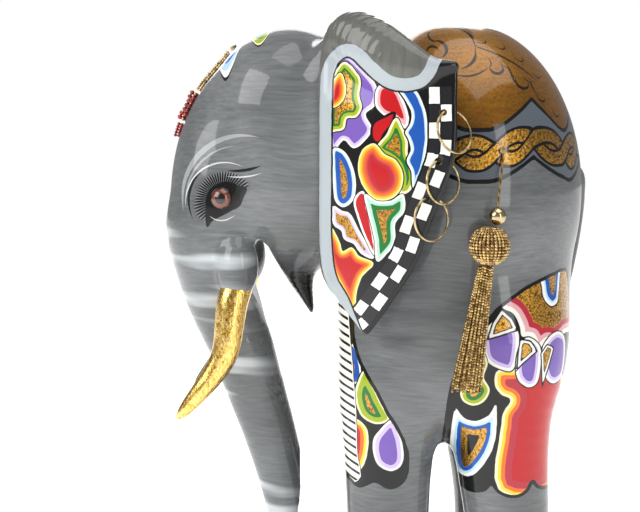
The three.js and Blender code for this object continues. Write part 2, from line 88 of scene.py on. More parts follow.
def newMaterial(name):
    material = bpy.data.materials.new(name)
    material.use_nodes = True
    tree = material.node_tree
    tree.nodes.clear()
    shader = tree.nodes.new("ShaderNodeBsdfPrincipled")
    output = tree.nodes.new("ShaderNodeOutputMaterial")
    tree.links.new(shader.outputs["BSDF"], output.inputs["Surface"])
    return material, tree, shader


def makeObject(name, vertices, faces, material=None, smooth=True):
    mesh = bpy.data.meshes.new(name)
    mesh.from_pydata([tuple(v) for v in vertices], [], [tuple(f) for f in faces])
    mesh.validate()
    made = bpy.data.objects.new(name, mesh)
    bpy.context.collection.objects.link(made)
    if smooth:
        mesh.polygons.foreach_set("use_smooth", [True] * len(mesh.polygons))
    if material:
        mesh.materials.append(material)
    return made


def smoothCurve(points, perSpan=8, closed=False):
    # a Catmull-Rom curve through given points
    p = np.asarray(points, float)
    count = len(p)
    spans = count if closed else count - 1
    found = []
    for i in range(spans):
        if closed:
            a, b, c, d = (p[(i + k - 1) % count] for k in range(4))
        else:
            b, c = p[i], p[i + 1]
            a = p[i - 1] if i > 0 else 2 * b - c
            d = p[i + 2] if i + 2 < count else 2 * c - b
        for step in range(perSpan):
            t = step / perSpan
            found.append(0.5 * (2 * b + (c - a) * t + (2 * a - 5 * b + 4 * c - d) * t * t
                                + (3 * b - a - 3 * c + d) * t ** 3))
    if not closed:
        found.append(p[-1])
    return np.array(found)


# ---- the two cords that the tassels hang by: thin gold thread from the flank pin down to the ball
cordSet = {"diameter": 1.2, "bow": 0.6, "length": 32.5}       # mm
threadSet = {"gold": "#B08A3E", "dark": "#5E4314", "twist": 1.1}     # mm for one turn of the twist


def goldThread():
    # metallised thread, two plies twisted: a soft gold line broken by fine dark diagonals
    material, tree, shader = newMaterial("twistedGoldThread")
    place = addNode(tree, "ShaderNodeTexCoord").outputs["Object"]
    plies = addNode(tree, "ShaderNodeTexWave", {"bands_direction": "DIAGONAL", "Distortion": 1.5,
                                                "Scale": 1000 / threadSet["twist"] / 6.28},
                                                {"Vector": place})
    colour = addNode(tree, "ShaderNodeMix", {"data_type": "RGBA", 6: hexToLinear(threadSet["dark"]),
                                             7: hexToLinear(threadSet["gold"])}, {0: plies.outputs["Fac"]})
    tree.links.new(colour.outputs[2], shader.inputs["Base Color"])
    shader.inputs["Metallic"].default_value = 0.7
    shader.inputs["Roughness"].default_value = 0.4
    bump = addNode(tree, "ShaderNodeBump", {"Strength": 0.6, "Distance": 0.0002},
                   {"Height": plies.outputs["Fac"]})
    tree.links.new(bump.outputs["Normal"], shader.inputs["Normal"])
    return material


threadMaterial = goldThread()
for side, sign in (("left", 1), ("right", -1)):
    low, high = (np.array(corner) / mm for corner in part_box(f"tassel_cord_{side}"))
    radius = cordSet["diameter"] / 2
    inner, outer = sorted((abs(low[0]), abs(high[0])))
    top = (sign * (inner + radius), high[1] - radius, high[2])
    end = (sign * (outer - radius), low[1] + radius, low[2])
    middle = [(a + b) / 2 for a, b in zip(top, end)]
    middle[0] += sign * cordSet["bow"]
    route = smoothCurve([top, middle, end], 10)
    data = bpy.data.curves.new(f"tasselCord.{side}", "CURVE")
    data.dimensions = "3D"
    data.bevel_depth = radius * mm
    data.bevel_resolution = 3
    data.use_fill_caps = True
    spline = data.splines.new("POLY")
    spline.points.add(len(route) - 1)
    for point, place in zip(spline.points, route):
        point.co = (*[value * mm for value in place], 1)
    cord = bpy.data.objects.new(f"tasselCord.{side}", data)
    bpy.context.collection.objects.link(cord)
    data.materials.append(threadMaterial)
    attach(cord, f"tassel_{side}")
    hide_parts(f"tassel_cord_{side}")
print("cords hung")


# ---- the carving as one rounded field, in millimetres; negative inside
carving = {
    "blend": 14,                  # how softly the masses run together
    "legBlend": 18,
    "grid": 1.7,                  # size of the carved facets
    "footPad": 1.5,
    "legTop": 118,
    "neckFoot": (-30, 246), "neckTop": (-8, 395),   # joint between head and torso, y and z
    "jawPlane": 250,
    "trunkPlane": 226,
}
torsoMasses = [                   # centre, radii
    ((0, 58, 286), (75, 75.5, 109)),        # barrel and croup
    ((0, 58, 206), (72, 70, 84)),           # belly
    ((0, 20, 236), (60, 46, 96)),           # chest
    ((0, 36, 340), (46, 34, 52)),           # withers
    ((0, -12, 318), (50, 56, 66)),          # neck
]
headMasses = [
    ((0, -57, 337), (56, 53, 57.5)),        # skull
    ((0, -98, 276), (42, 37.5, 84)),        # face and root of the trunk
    ((0, -50, 292), (60, 48, 56)),          # cheeks
    ((0, -12, 318), (50, 56, 66)),          # neck
    ((43, -31, 322), (16, 15, 62)),         # root of each ear
]
tuskSheath = ((36, -89, 241), (14, 13.5, 21))   # fold of skin that each tusk comes out of
frontLeg = [                      # centre, half width, half depth
    (38, 9, 1.5, 25, 27), (38, 9, 10, 26, 28), (38, 8, 28, 23.5, 26), (38, 7.5, 70, 23, 26),
    (38, 7.5, 120, 26, 28.5), (36, 11, 170, 31, 36), (30, 16, 215, 28, 36),
]
rearLeg = [
    (38, 84, 1.5, 25, 28), (38, 84, 10, 26, 29), (38, 84, 30, 23.5, 25.5), (38, 84, 75, 24, 26.5),
    (38, 80, 120, 28, 29.5), (37, 79.5, 150, 31.5, 32), (35, 79.5, 180, 34, 36.5), (31, 76, 205, 32, 35.5),
    (26, 70, 235, 26, 30),
]
trunkLine = [
    (0, -104, 262, 32, 33), (0, -105, 240, 27, 25.5), (0, -97, 205, 23.5, 23), (0, -88, 180, 21.5, 21.2),
    (0, -78, 148, 18.5, 19), (0, -71, 126, 17, 17.6), (0, -62, 92, 15.5, 15.8), (0, -57, 60, 14, 14),
    (0, -59, 34, 12.5, 12.5), (0, -69, 18, 11, 11), (0, -83, 15.5, 10, 9.8), (0, -94, 23, 9, 8.6),
    (0, -97, 30, 7.6, 7),
]
jawLine = [
    (0, -57, 264, 31, 20), (0, -57, 250, 27, 18.5), (0, -53, 238, 21, 13), (0, -49, 224, 13, 7.5),
    (0, -45, 212, 7, 4), (0, -43, 205.5, 3, 2),
]
mouthOutline = [                  # the open mouth between trunk and jaw, along y and z
    (-74, 258), (-79.5, 256), (-82.5, 249), (-83, 243), (-82.5, 226), (-66.5, 190), (-60, 165), (-34, 165),
    (-42.8, 204.4), (-57.5, 226), (-64, 241), (-69.5, 253.5),
]


def ellipsoidField(p, at, radii):
    q = np.stack([np.abs(p[:, 0]), p[:, 1], p[:, 2]], 1) - np.array(at)
    scaled = np.linalg.norm(q / np.array(radii), axis=1)
    slope = np.linalg.norm(q / np.array(radii) ** 2, axis=1)
    return scaled * (scaled - 1) / np.maximum(slope, 1e-9)


def softMin(a, b, reach):
    overlap = np.maximum(reach - np.abs(a - b), 0) / reach
    return np.minimum(a, b) - overlap ** 2 * reach / 4


def sweptField(points, stations, perSpan=3, fold=True):
    # a body swept through stations, each section an ellipse across the line; far points just read as far
    line = smoothCurve(stations, perSpan)
    folded = points.copy()
    if fold:
        folded[:, 0] = np.abs(folded[:, 0])
    reach = 24
    grown = line[:, 3:5].max() + reach
    low, high = line[:, :3].min(0) - grown, line[:, :3].max(0) + grown
    close = ((folded > low) & (folded < high)).all(1)
    field = np.full(len(folded), float(reach))
    q = folded[close]
    best = np.full(len(q), 1e3)
    for a, b in zip(line[:-1], line[1:]):
        run = b[:3] - a[:3]
        length = run @ run
        t = np.clip(((q - a[:3]) @ run) / length, 0, 1)
        offset = q - a[:3] - t[:, None] * run
        wide = a[3] + t * (b[3] - a[3])
        deep = a[4] + t * (b[4] - a[4])
        depth = np.hypot(offset[:, 1], offset[:, 2])
        near = np.hypot(offset[:, 0] / wide, depth / deep)
        best = np.minimum(best, (near - 1) * np.minimum(wide, deep))
    field[close] = np.minimum(best, reach)
    return field


def outlineField(ys, zs, outline, reach=12):
    # signed distance to a closed outline in the side view, negative inside
    points = np.asarray(outline, float)
    low, high = points.min(0) - reach, points.max(0) + reach
    close = (ys > low[0]) & (ys < high[0]) & (zs > low[1]) & (zs < high[1])
    field = np.full(ys.shape, float(reach))
    y, z = ys[close], zs[close]
    best = np.full(y.shape, 1e9)
    inside = np.zeros(y.shape, bool)
    for (ay, az), (by, bz) in zip(points, np.roll(points, -1, 0)):
        ry, rz = by - ay, bz - az
        t = np.clip(((y - ay) * ry + (z - az) * rz) / (ry * ry + rz * rz + 1e-12), 0, 1)
        best = np.minimum(best, (y - ay - t * ry) ** 2 + (z - az - t * rz) ** 2)
        crosses = ((az > z) != (bz > z)) & (y < ay + (z - az) * ry / (rz if rz else 1e-12))
        inside ^= crosses
    field[close] = np.where(inside, -1, 1) * np.sqrt(best)
    return field


def massField(p, masses):
    field = None
    for at, radii in masses:
        one = ellipsoidField(p, at, radii)
        field = one if field is None else softMin(field, one, carving["blend"])
    return field


def bodyField(p):
    # torso, legs, head, trunk and jaw run into one another under the paint
    field = massField(p, torsoMasses)
    low = p[:, 2] < 265
    if low.any():
        q = p[low]
        legs = softMin(sweptField(q, frontLeg), sweptField(q, rearLeg), 10)
        field[low] = softMin(field[low], legs, carving["legBlend"])
    front = p[:, 1] < 60
    if front.any():
        q = p[front]
        head = massField(q, headMasses)
        head = softMin(head, sweptField(q, trunkLine), 10)
        head = softMin(head, sweptField(q, jawLine), 10)
        mouth = outlineField(q[:, 1], q[:, 2], mouthOutline)
        head = -softMin(-head, mouth, 5)
        head = softMin(head, ellipsoidField(q, *tuskSheath), 5)
        field[front] = softMin(field[front], head, carving["blend"])
    return np.maximum(field, carving["footPad"] - p[:, 2])


def meshField(field, low, high, step):
    # surface nets: one vertex in each cell that the surface crosses
    low = np.array(low, float)
    size = np.ceil((np.array(high) - low) / step).astype(int) + 1
    coarse = 4
    blocks = np.ceil(size / coarse).astype(int)
    centres = np.stack(np.meshgrid(*[np.arange(n) for n in blocks], indexing="ij"), -1).reshape(-1, 3)
    rough = field(low + (centres * coarse + (coarse - 1) / 2) * step).reshape(blocks)
    spread = rough.repeat(coarse, 0).repeat(coarse, 1).repeat(coarse, 2)[:size[0], :size[1], :size[2]]
    values = spread.copy()
    near = np.argwhere(np.abs(spread) < coarse * step * 1.35)
    values[tuple(near.T)] = field(low + near * step)
    inside = values < 0
    cells = size - 1
    total = int(np.prod(cells))
    sums = np.zeros((3, total))
    count = np.zeros(total)
    quads = []
    for axis in range(3):
        first = [slice(None)] * 3
        second = [slice(None)] * 3
        first[axis] = slice(0, -1)
        second[axis] = slice(1, None)
        change = np.argwhere(inside[tuple(first)] != inside[tuple(second)])
        a = values[tuple(change.T)]
        ahead = change.copy()
        ahead[:, axis] += 1
        b = values[tuple(ahead.T)]
        where = change.astype(float)
        where[:, axis] += a / (a - b)
        u, v = [k for k in range(3) if k != axis]
        around = []
        for du, dv in ((0, 0), (-1, 0), (-1, -1), (0, -1)):
            cell = change.copy()
            cell[:, u] += du
            cell[:, v] += dv
            cell = np.clip(cell, 0, cells - 1)
            flat = np.ravel_multi_index(cell.T, cells)
            around.append(flat)
            for k in range(3):
                sums[k] += np.bincount(flat, where[:, k], total)
            count += np.bincount(flat, minlength=total)
        quad = np.stack(around, 1)
        flip = (a < 0) == (axis == 1)
        quad[flip] = quad[flip][:, ::-1]
        quads.append(quad)
    used = count > 0
    index = np.cumsum(used) - 1
    points = low + (sums[:, used] / count[used]).T * step
    return points, index[np.concatenate(quads)]


def settle(points, field, rounds=2, reach=0.5):
    # slide the points onto the surface along its slope
    for _ in range(rounds):
        value = field(points)
        slope = np.stack([(field(points + reach * axis) - field(points - reach * axis)) / (2 * reach)
                          for axis in np.eye(3)], 1)
        size = np.maximum((slope ** 2).sum(1), 0.05)
        move = np.clip(value / size, -1.2, 1.2)
        points = points - slope * move[:, None]
    return points


def writeLayer(piece, name, values):
    layer = piece.data.attributes.new(name, "FLOAT", "POINT")
    layer.data.foreach_set("value", np.asarray(values, np.float32))


# ---- ears
earSet = {
    "rootX": 53, "flare": 43, "curl": 30, "front": -36,   # how the leaf turns out from the head, mm
    "lean": 0.0035, "leanFrom": 325,
    "thick": 4.2, "thin": 1.4,                            # half thickness at the root and the free edge
    "grid": 1.15,
}
earOutline = [                    # y, z
    (43, 362), (43.3, 345), (43.3, 318), (41, 305), (34.4, 287), (28.2, 270), (22.8, 253.5), (16.5, 241),
    (4.6, 222.5), (-2.4, 212), (-8.3, 205.6), (-14.6, 212), (-22, 221), (-30, 231.5), (-34.6, 241),
    (-35.8, 255), (-35.8, 300), (-35.8, 345), (-35, 370), (-29, 384), (-18, 390), (-6, 387), (8, 379),
    (22, 370), (34, 364.5),
]
earRoll = [                       # y, z, half width out of the leaf, half width along it
    (-27, 233, 2.4, 2.4), (-31, 245, 3.6, 3.4), (-32, 270, 4.2, 3.6), (-32, 310, 4.6, 3.8),
    (-32, 342, 5, 4),
    (-31, 358, 5.4, 4.8), (-29, 370, 6, 6.5), (-24.5, 378.5, 6.8, 10), (-16.5, 382.5, 7.2, 14.5),
    (-6, 376.5, 7.2, 16), (5, 369.2, 7, 15), (14, 365, 6.4, 12.4), (23, 362.6, 5.4, 8.6),
    (31, 363, 4.4, 4.6), (38, 364, 3.4, 2.6), (42, 364, 2.4, 1.6),
]
hoopSet = {
    "places": [(35.6, 337, 22), (32.5, 309, 7), (26.2, 287.5, 6)],   # y, z, lean in degrees
    "radius": 12.8, "wire": 0.7, "hole": 2.3,
}


def earX(y, z):
    y = np.maximum(y, earSet["front"])
    turned = 1 - np.exp((earSet["front"] - y) / earSet["curl"])
    lean = earSet["lean"] * np.maximum(z - earSet["leanFrom"], 0) ** 2
    return earSet["rootX"] + earSet["flare"] * turned - lean


def earField(p):
    x, y, z = p.T
    leaf = outlineField(y, z, smoothCurve(earOutline, 3, closed=True))
    turning = np.exp((earSet["front"] - np.maximum(y, -36)) / earSet["curl"])
    slope = earSet["flare"] / earSet["curl"] * turning
    thin = np.clip((y + 20) / 50, 0, 1)
    thin = thin * thin * (3 - 2 * thin)
    half = earSet["thick"] + (earSet["thin"] - earSet["thick"]) * thin
    away = np.abs(x - earX(y, z)) / np.sqrt(1 + slope ** 2) - half
    field = -softMin(-leaf, -away, 2.2)
    roll = [(earX(y, z) + out * 0.55, y, z, out, along) for y, z, out, along in earRoll]
    field = softMin(field, sweptField(p, roll, 3, fold=False), 5)
    for y0, z0, _ in hoopSet["places"]:
        bore = hoopSet["hole"] * 0.8 - np.hypot(y - y0, z - z0)
        field = -softMin(-field, -bore, 1.2)
    return field


def buildEar():
    points, quads = meshField(earField, (38, -42, 200), (106, 48, 402), earSet["grid"])
    return settle(points, earField, 2, 0.3), quads


# ---- the painted skin: one field for torso, head, trunk, jaw and legs, later cut at the joints
skinPoints, skinQuads = meshField(bodyField, (-82, -146, 0), (82, 146, 402), carving["grid"])
skinPoints = settle(skinPoints, bodyField)
print("skin meshed", len(skinPoints), "points")

eyeSet = {"y": -97.5, "z": 284.5, "radius": 8, "iris": 6.4, "pupil": 3.4}
ornament = {                      # mm; outlines are y and z in the side view, bands are depth from the edge
    "turnRear": 50, "turnFront": 22,    # half widths where the side view turns to the back and to the chest
    "capHalf": 34,                # half width of the two lens shapes over the forehead
}
blanketSet = {
    "front": 6,                   # y of its front edge
    "hemTop": 327, "hemTopPeak": 19, "hemBottom": 296.5, "hemBottomPeak": 14.5,
    "peaks": (-44, 24, 92.3, 150, 193), "peakReach": 28,
    "line": 2.6, "strapMid": 313.2, "strapPeak": 8.7,
    "strand": 3.5, "swing": 6.4, "crossing": 24.2,     # the twisted strap painted along the hem
}
thighPanel = [
    (120, 240), (112, 239), (104, 237.3), (90, 232), (78, 224.5), (69, 217), (59, 203), (50, 187),
    (45, 172),
    (42.6, 150), (42.5, 122), (46, 108), (52, 103), (60, 102), (67, 105), (70, 110), (75, 104), (84, 101),
    (92, 104), (96, 110), (101, 105), (112, 103), (124, 108), (140, 118), (142, 200), (134, 236),
]
# each motif: outline and its bands as (depth, colour); "leaf" is gold leaf
thighMotifs = {
    "dawn": ([(60, 236), (73, 220.5), (80, 216.5), (84.4, 209), (86, 202), (92, 201.4), (96.8, 193),
              (103, 197.6),
              (109, 194), (118, 200), (142, 204), (142, 250), (80, 252)],
             [(0.7, "white"), (3.4, "pink"), (6.2, "crimson"), (9.6, "leaf")]),
    "sun": ([(97.8, 244), (99, 232), (101, 223.5), (106.7, 218.2), (112.6, 221), (117, 230), (118, 244)],
            [(0.8, "white"), (2.6, "paleBlue"), (3.8, "blue"), (6.6, "leaf")]),
    "tongue": ([(71, 183), (69.6, 173), (74, 166.5), (79.6, 163.4), (76, 157), (74.4, 147), (74.4, 104),
                (118, 104),
               (124, 150), (122, 172), (99.6, 190), (91, 190), (84, 184)],
              [(0.7, "cream"), (2.4, "yellow"), (4.4, "orange"), (6.8, "crimson"), (11, "red")]),
    "petalOne": ([(62.5, 206), (62.6, 192), (67, 185.4), (74, 182), (81, 181.4), (84.2, 190),
                  (84.6, 206), (74, 216)],
                 [(0.8, "white"), (2.7, "lilac"), (4.7, "purple")]),
    "petalTwo": ([(82, 184), (84, 175.6), (90.6, 170.4), (97, 172.6), (99.4, 182), (99, 196), (90, 203),
                  (84, 196)],
                 [(0.8, "white"), (2.6, "lilac"), (4.4, "purple")]),
    "petalThree": ([(99.4, 196), (100.4, 180), (105, 172), (112, 170.6), (119, 176), (121, 196),
                    (110, 204)],
                   [(0.8, "white"), (2.6, "lilac"), (4.4, "purple")]),
    "fanOne": ([(73.6, 220.4), (68, 212), (64.2, 200.6), (74, 203.2), (84.6, 206.4), (80.6, 214)],
               [(1, "white"), (2.5, "black"), (3.2, "leaf")]),
    "fanTwo": ([(84.8, 202), (83.6, 192), (82.6, 181), (89, 187), (97, 193), (92.4, 200)],
               [(1, "white"), (2.3, "black"), (2.9, "leaf")]),
    "fanThree": ([(98.4, 191.6), (99, 180), (100.2, 168), (104, 180), (108.6, 194), (103, 197.4)],
                 [(0.9, "white"), (1.9, "black"), (2.4, "leaf")]),
    "key": ([(55, 200), (61.5, 197), (66, 187), (64, 178), (67.8, 170), (64.6, 162), (57.8, 158.6),
             (51, 162),
             (49.4, 170), (52.6, 178), (50.6, 190)],
            [(0.5, "cream"), (1.7, "lime"), (3.7, "green"), (6.2, "leaf")]),
    "wave": ([(47, 157), (53, 150.6), (60, 149.6), (67, 154), (71.6, 162), (73, 150), (71, 132),
              (60, 112), (49, 112),
              (45.6, 132)],
             [(0.7, "white"), (2.8, "paleBlue"), (4.2, "blue"), (6.4, "leaf"), (10, "black")]),
}
chestPanel = [(-60, 228), (-30, 226), (-18, 222), (-15.5, 200), (-13, 189), (-8.6, 179.5), (-1, 167),
              (5.4, 154.5),
              (12, 144), (18, 128), (17, 112), (8, 106), (-2, 110), (-12, 105), (-24, 110), (-60, 108)]
chestMotifs = {
    "dropBlue": ([(-16, 196), (-12, 188), (-10, 178), (-13, 170), (-19, 174), (-20, 186)],
                 [(0.7, "white"), (1.6, "blue"), (4.4, "leaf")]),
    "leafLime": ([(-9, 181), (-3, 172), (4, 158), (8, 150), (-2, 146), (-12, 152), (-15, 166)],
                 [(0.8, "cream"), (2, "lime"), (5, "green"), (7, "leaf")]),
    "petalLilac": ([(9, 151), (15, 138), (16, 122), (8, 116), (-2, 122), (-4, 136), (2, 146)],
                   [(0.8, "white"), (2.2, "lilac"), (4.6, "purple")]),
    "emberRed": ([(-14, 150), (-6, 143), (-6, 126), (-12, 114), (-24, 118), (-30, 140), (-24, 152)],
                 [(0.8, "cream"), (2, "yellow"), (3.6, "orange"), (5.6, "red")]),
    "ladder": ([(-40, 222), (-20, 221), (-17.5, 205), (-16, 190), (-14.5, 170), (-13, 150),
                (-12.5, 128), (-12, 108),
                (-40, 108)],
               [(0.5, "white")]),
}
eyePanel = [(-107.4, 266.4), (-103, 271), (-94, 275.6), (-86.6, 279.6), (-84, 285), (-81.4, 291.4),
            (-86, 292.4),
            (-91, 294.6), (-97, 295), (-103, 292.4), (-107, 287), (-108.2, 278)]
lashPanel = [(-110.6, 271), (-104, 273), (-96, 280), (-88, 285), (-80.4, 292), (-83.6, 297.4), (-92, 300.8),
             (-100, 300.8), (-107, 298), (-112, 292), (-115, 284), (-115, 276)]
# brush strokes as arcs: centre y and z, radius, from and to in degrees, half width, all in mm
browStrokes = [
    (-90.2, 349, 47.2, 265, 292.5, 0.95), (-96, 283, 23.4, 122, 212, 0.85),
]
foldHighlightStrokes = [                   # painted highlight along the raised folds of the brow
    (-84, 284, 39.8, 74, 192, 1.7), (-86, 282, 35.5, 96, 182, 0.7),
]
paleStrokes = [
    (-95.6, 281, 26, 62, 186, 0.55), (-88, 344, 46, 262, 291, 0.45), (-98, 282, 11.2, 228, 318, 0.4),
]
scrollStrokes = [
    (46.5, 377.5, 13.8, -85, 88, 1.28), (46.5, 377.5, 15.6, 30, 80, 0.41), (11.5, 238.8, 150, 51, 72, 0.74),
    (36, 376.6, 5.6, -70, 110, 1.08), (33.2, 375, 3.6, 0, 190, 0.81), (35.4, 386, 4, 120, 300, 0.68),
    (52, 380, 20.6, -112, -46, 0.68), (71.4, 365.6, 4.5, 175, 380, 1.01), (62, 370.6, 7.5, -50, 10, 0.47),
    (88, 357.4, 5.2, 165, 345, 0.88), (94, 362.6, 13.5, 160, 215, 0.81), (84, 372, 9, 200, 250, 0.47),
    (102, 349.5, 5, 175, 330, 0.74), (108.6, 355, 13, 165, 212, 0.68), (98, 364, 8.6, 205, 255, 0.47),
    (116, 340, 4.6, 170, 330, 0.61), (74, 386, 5.6, 190, 340, 0.47), (86, 381.5, 4.8, 200, 350, 0.47),
    (97, 374, 4.8, 200, 350, 0.47), (108, 364, 5, 190, 330, 0.47), (64, 391, 12, 10, 100, 0.54),
]


neckNormal = Vector((0, carving["neckTop"][1] - carving["neckFoot"][1],
                     carving["neckFoot"][0] - carving["neckTop"][0])).normalized()
mouthMiddle = [(190, -50), (200, -57), (226, -70), (243, -74), (258, -74)]      # z, y


def behindNeck(p):
    foot = carving["neckFoot"]
    return (p[:, 1] - foot[0]) * neckNormal.y + (p[:, 2] - foot[1]) * neckNormal.z


def trunkSide(p):
    heights, places = zip(*mouthMiddle)
    return p[:, 1] < np.interp(p[:, 2], heights, places)


def trunkBack(z):
    # where the rear of the trunk lies at a height
    heights, backs = zip(*sorted((at, middle + deep) for _, middle, at, _, deep in trunkLine[:9]))
    return np.interp(z, heights, backs)


def layerOf(outline, y, z, perSpan=4):
    # depth in mm inside a rounded outline
    return -outlineField(y, z, smoothCurve(outline, perSpan, closed=True))


def hemRise(y):
    away = np.min([np.abs(y - peak) for peak in blanketSet["peaks"]], 0)
    return np.maximum(1 - away / blanketSet["peakReach"], 0) ** 1.5


def skinLayers(p):
    x, y, z = np.abs(p[:, 0]), p[:, 1], p[:, 2]
    side = y + np.where(y > 60, 0.75 * np.maximum(ornament["turnRear"] - x, 0), 0)
    side = side - np.where(y < 20, 0.9 * np.maximum(ornament["turnFront"] - x, 0), 0)
    rise = hemRise(side)
    hemTop = blanketSet["hemTop"] + blanketSet["hemTopPeak"] * rise
    hemBottom = blanketSet["hemBottom"] + blanketSet["hemBottomPeak"] * rise
    fromFront = y - blanketSet["front"]
    thigh = np.minimum(layerOf(thighPanel, side, z), (x - 9) * 1.2)
    # painted shade: darker under the head, just behind the rear of the trunk
    under = np.clip((258 - z) / 30, 0, 1) * np.clip((y - trunkBack(z) + 16) / 14, 0, 1)
    # painted shadow of the ear on the flank behind it, stronger higher up
    earShadowFade = np.exp(-np.maximum(y - 8, 0) / 26) * np.clip((y + 20) / 20, 0, 1)
    layers = {
        "sideY": side, "sideZ": z,
        "blanket": np.minimum(z - hemBottom, fromFront), "cloth": np.minimum(z - hemTop, fromFront - 8),
        "strapOffset": z - blanketSet["strapMid"] - blanketSet["strapPeak"] * rise,
        "strapAlong": side - blanketSet["peaks"][2],
        "thighPanel": thigh, "chestPanel": layerOf(chestPanel, side, z),
        "eyePanel": layerOf(eyePanel, y, z), "lashPanel": layerOf(lashPanel, y, z),
        "trunkRun": np.clip((300 - z) / 50, 0, 1) * trunkSide(p),
        "shadeBehindTrunk": under * trunkSide(p),
        "earShadow": earShadowFade * np.clip((z - 215) / 60, 0, 1),
        "jawShade": np.clip((262 - z) / 22, 0, 1) * (behindNeck(p) < 2) * ~trunkSide(p),
    }
    for name, (outline, _) in {**thighMotifs, **chestMotifs}.items():
        layers[name] = layerOf(outline, side, z, 1 if name.startswith("fan") else 4)
    for name, start, end in (("capLime", -64, -84), ("capSky", -83, -104)):
        along = np.clip((y - start) / (end - start), 0, 1)
        layers[name] = np.where(z > 345, ornament["capHalf"] * np.sin(math.pi * along) ** 0.8 - x, -9)
    nail = np.full(len(x), -9.0)
    for centre in ((38, 9), (38, 84)):
        turn = np.degrees(np.arctan2(x - centre[0], centre[1] - y))
        for at in (-48, -16, 16, 48):
            across = (turn - at) * 0.45
            nail = np.maximum(nail, 1 - np.hypot(across / 5.6, (z - 5) / 10))
    layers["nail"] = np.where(z < 20, nail * 6, -9)
    return layers


skinLayerValues = skinLayers(skinPoints)
print("ornament laid out", len(skinLayerValues), "layers")


# ---- paint
paints = {
    "white": "#F1F0E8", "cream": "#F5EDC2", "yellow": "#F4CE33", "orange": "#EC6F28", "red": "#BA1319",
    "crimson": "#B22C3C", "pink": "#E0A8AE", "lime": "#9CAE1C", "green": "#1A7030", "mint": "#A9DCC0",
    "blue": "#1C52A8", "paleBlue": "#B8DAF0", "purple": "#7558AE", "lilac": "#CDBAE4", "black": "#08080A",
    "slate": "#565C64", "leaf": "#D09A3A",
}
paintSet = {
    "grey": "#67696A", "greyLight": "#7A7D7F", "greyDark": "#56595A",
    # jaw is the dark grey of the painted shade under the head and jaw, behind the trunk and in the ear's
    # shadow
    "jaw": "#34373B", "trunkPale": "#C6CCCF", "trunkDark": "#5A6165",
    "rim": "#B4BDC3", "foldDark": "#585954", "foldMiddle": "#656661", "foldLight": "#73746F",
    "chequerDark": "#1E1E22",
    "hair": (6, 24, 1.7),                  # mm along x, y and z; coarser than real hairs so that they show
    "patch": 55,                           # mm, slow light and dark areas
    "wobble": 0.35,                        # mm that a hand-held brush strays
    "roughness": 0.4, "leafRoughness": 0.27, "lacquer": 0.75, "lacquerRoughness": 0.07,
    "wrinkle": 1.6,                        # mm between wrinkles in gold leaf
}


def paintColour(name):
    colour = hexToLinear(paints[name])
    return colour[:3] + (0.0,) if name == "leaf" else colour


def attributeOf(tree, name):
    return addNode(tree, "ShaderNodeAttribute", {"attribute_name": name}).outputs["Fac"]


def mathOf(tree, operation, first, second=0.0, third=0.0):
    settings, links = {"operation": operation}, {}
    for slot, value in enumerate((first, second, third)):
        if isinstance(value, (int, float)):
            settings[slot] = value
        else:
            links[slot] = value
    return addNode(tree, "ShaderNodeMath", settings, links).outputs[0]


def mixOf(tree, factor, first, second):
    # two colours, each a hex value or a socket
    settings, links = {"data_type": "RGBA"}, {0: factor}
    for slot, value in ((6, first), (7, second)):
        if isinstance(value, str):
            settings[slot] = hexToLinear(value)
        else:
            links[slot] = value
    return addNode(tree, "ShaderNodeMix", settings, links).outputs[2]


def layOver(coat, mask, colour, leaf=0.0):
    # a new colour over the coat where the mask is 1; leaf is 1 where it is gold leaf
    tree = coat["tree"]
    coat["colour"] = mixOf(tree, mask, coat["colour"],
                           paints.get(colour, colour) if isinstance(colour, str) else colour)
    kept = mathOf(tree, "MULTIPLY", coat["leaf"], mathOf(tree, "SUBTRACT", 1, mask))
    coat["leaf"] = mathOf(tree, "MULTIPLY_ADD", mask, leaf, kept)
    # a hair of the coat below in the next one's wobble keeps the coats in order, so few wait at once
    coat["wobble"] = mathOf(tree, "MULTIPLY_ADD", coat["leaf"], 1e-6, coat["wobble"])


def startCoat(tree, base, hair=paintSet["hair"]):
    # brushed colour: long hairs along one way, over slow light and dark patches
    place = addNode(tree, "ShaderNodeTexCoord").outputs["Object"]
    slow = addNode(tree, "ShaderNodeTexNoise", {"Scale": 1000 / paintSet["patch"], "Detail": 1},
                   {"Vector": place})
    bend = addNode(tree, "ShaderNodeVectorMath", {"operation": "MULTIPLY_ADD", 1: (0.01, 0.01, 0.012)},
                   {0: slow.outputs["Color"], 2: place}).outputs[0]
    fineness = tuple(1000 / size for size in hair)
    hairs = addNode(tree, "ShaderNodeVectorMath", {"operation": "MULTIPLY", 1: fineness},
                    {0: bend}).outputs[0]
    strokes = addNode(tree, "ShaderNodeTexNoise", {"Scale": 1, "Detail": 3, "Roughness": 0.6},
                      {"Vector": hairs})
    spread = addNode(tree, "ShaderNodeMapRange", {"From Min": 0.32, "From Max": 0.68},
                     {"Value": strokes.outputs["Fac"]}).outputs["Result"]
    patches = addNode(tree, "ShaderNodeMapRange", {"From Min": 0.35, "From Max": 0.65},
                      {"Value": slow.outputs["Fac"]}).outputs["Result"]
    dark = mixOf(tree, patches, base[0], base[1])
    light = mixOf(tree, patches, base[1], base[2])
    near = addNode(tree, "ShaderNodeTexNoise", {"Scale": 160, "Detail": 1},
                   {"Vector": place}).outputs["Fac"]
    wobble = mathOf(tree, "MULTIPLY_ADD", near, paintSet["wobble"] * 2, -paintSet["wobble"])
    return {"tree": tree, "colour": mixOf(tree, spread, dark, light), "leaf": 0.0, "strokes": spread,
            "wobble": wobble, "place": place}


def depthOf(coat, name):
    # a painted outline's depth, strayed a little as a brush does
    return mathOf(coat["tree"], "ADD", attributeOf(coat["tree"], name), coat["wobble"])


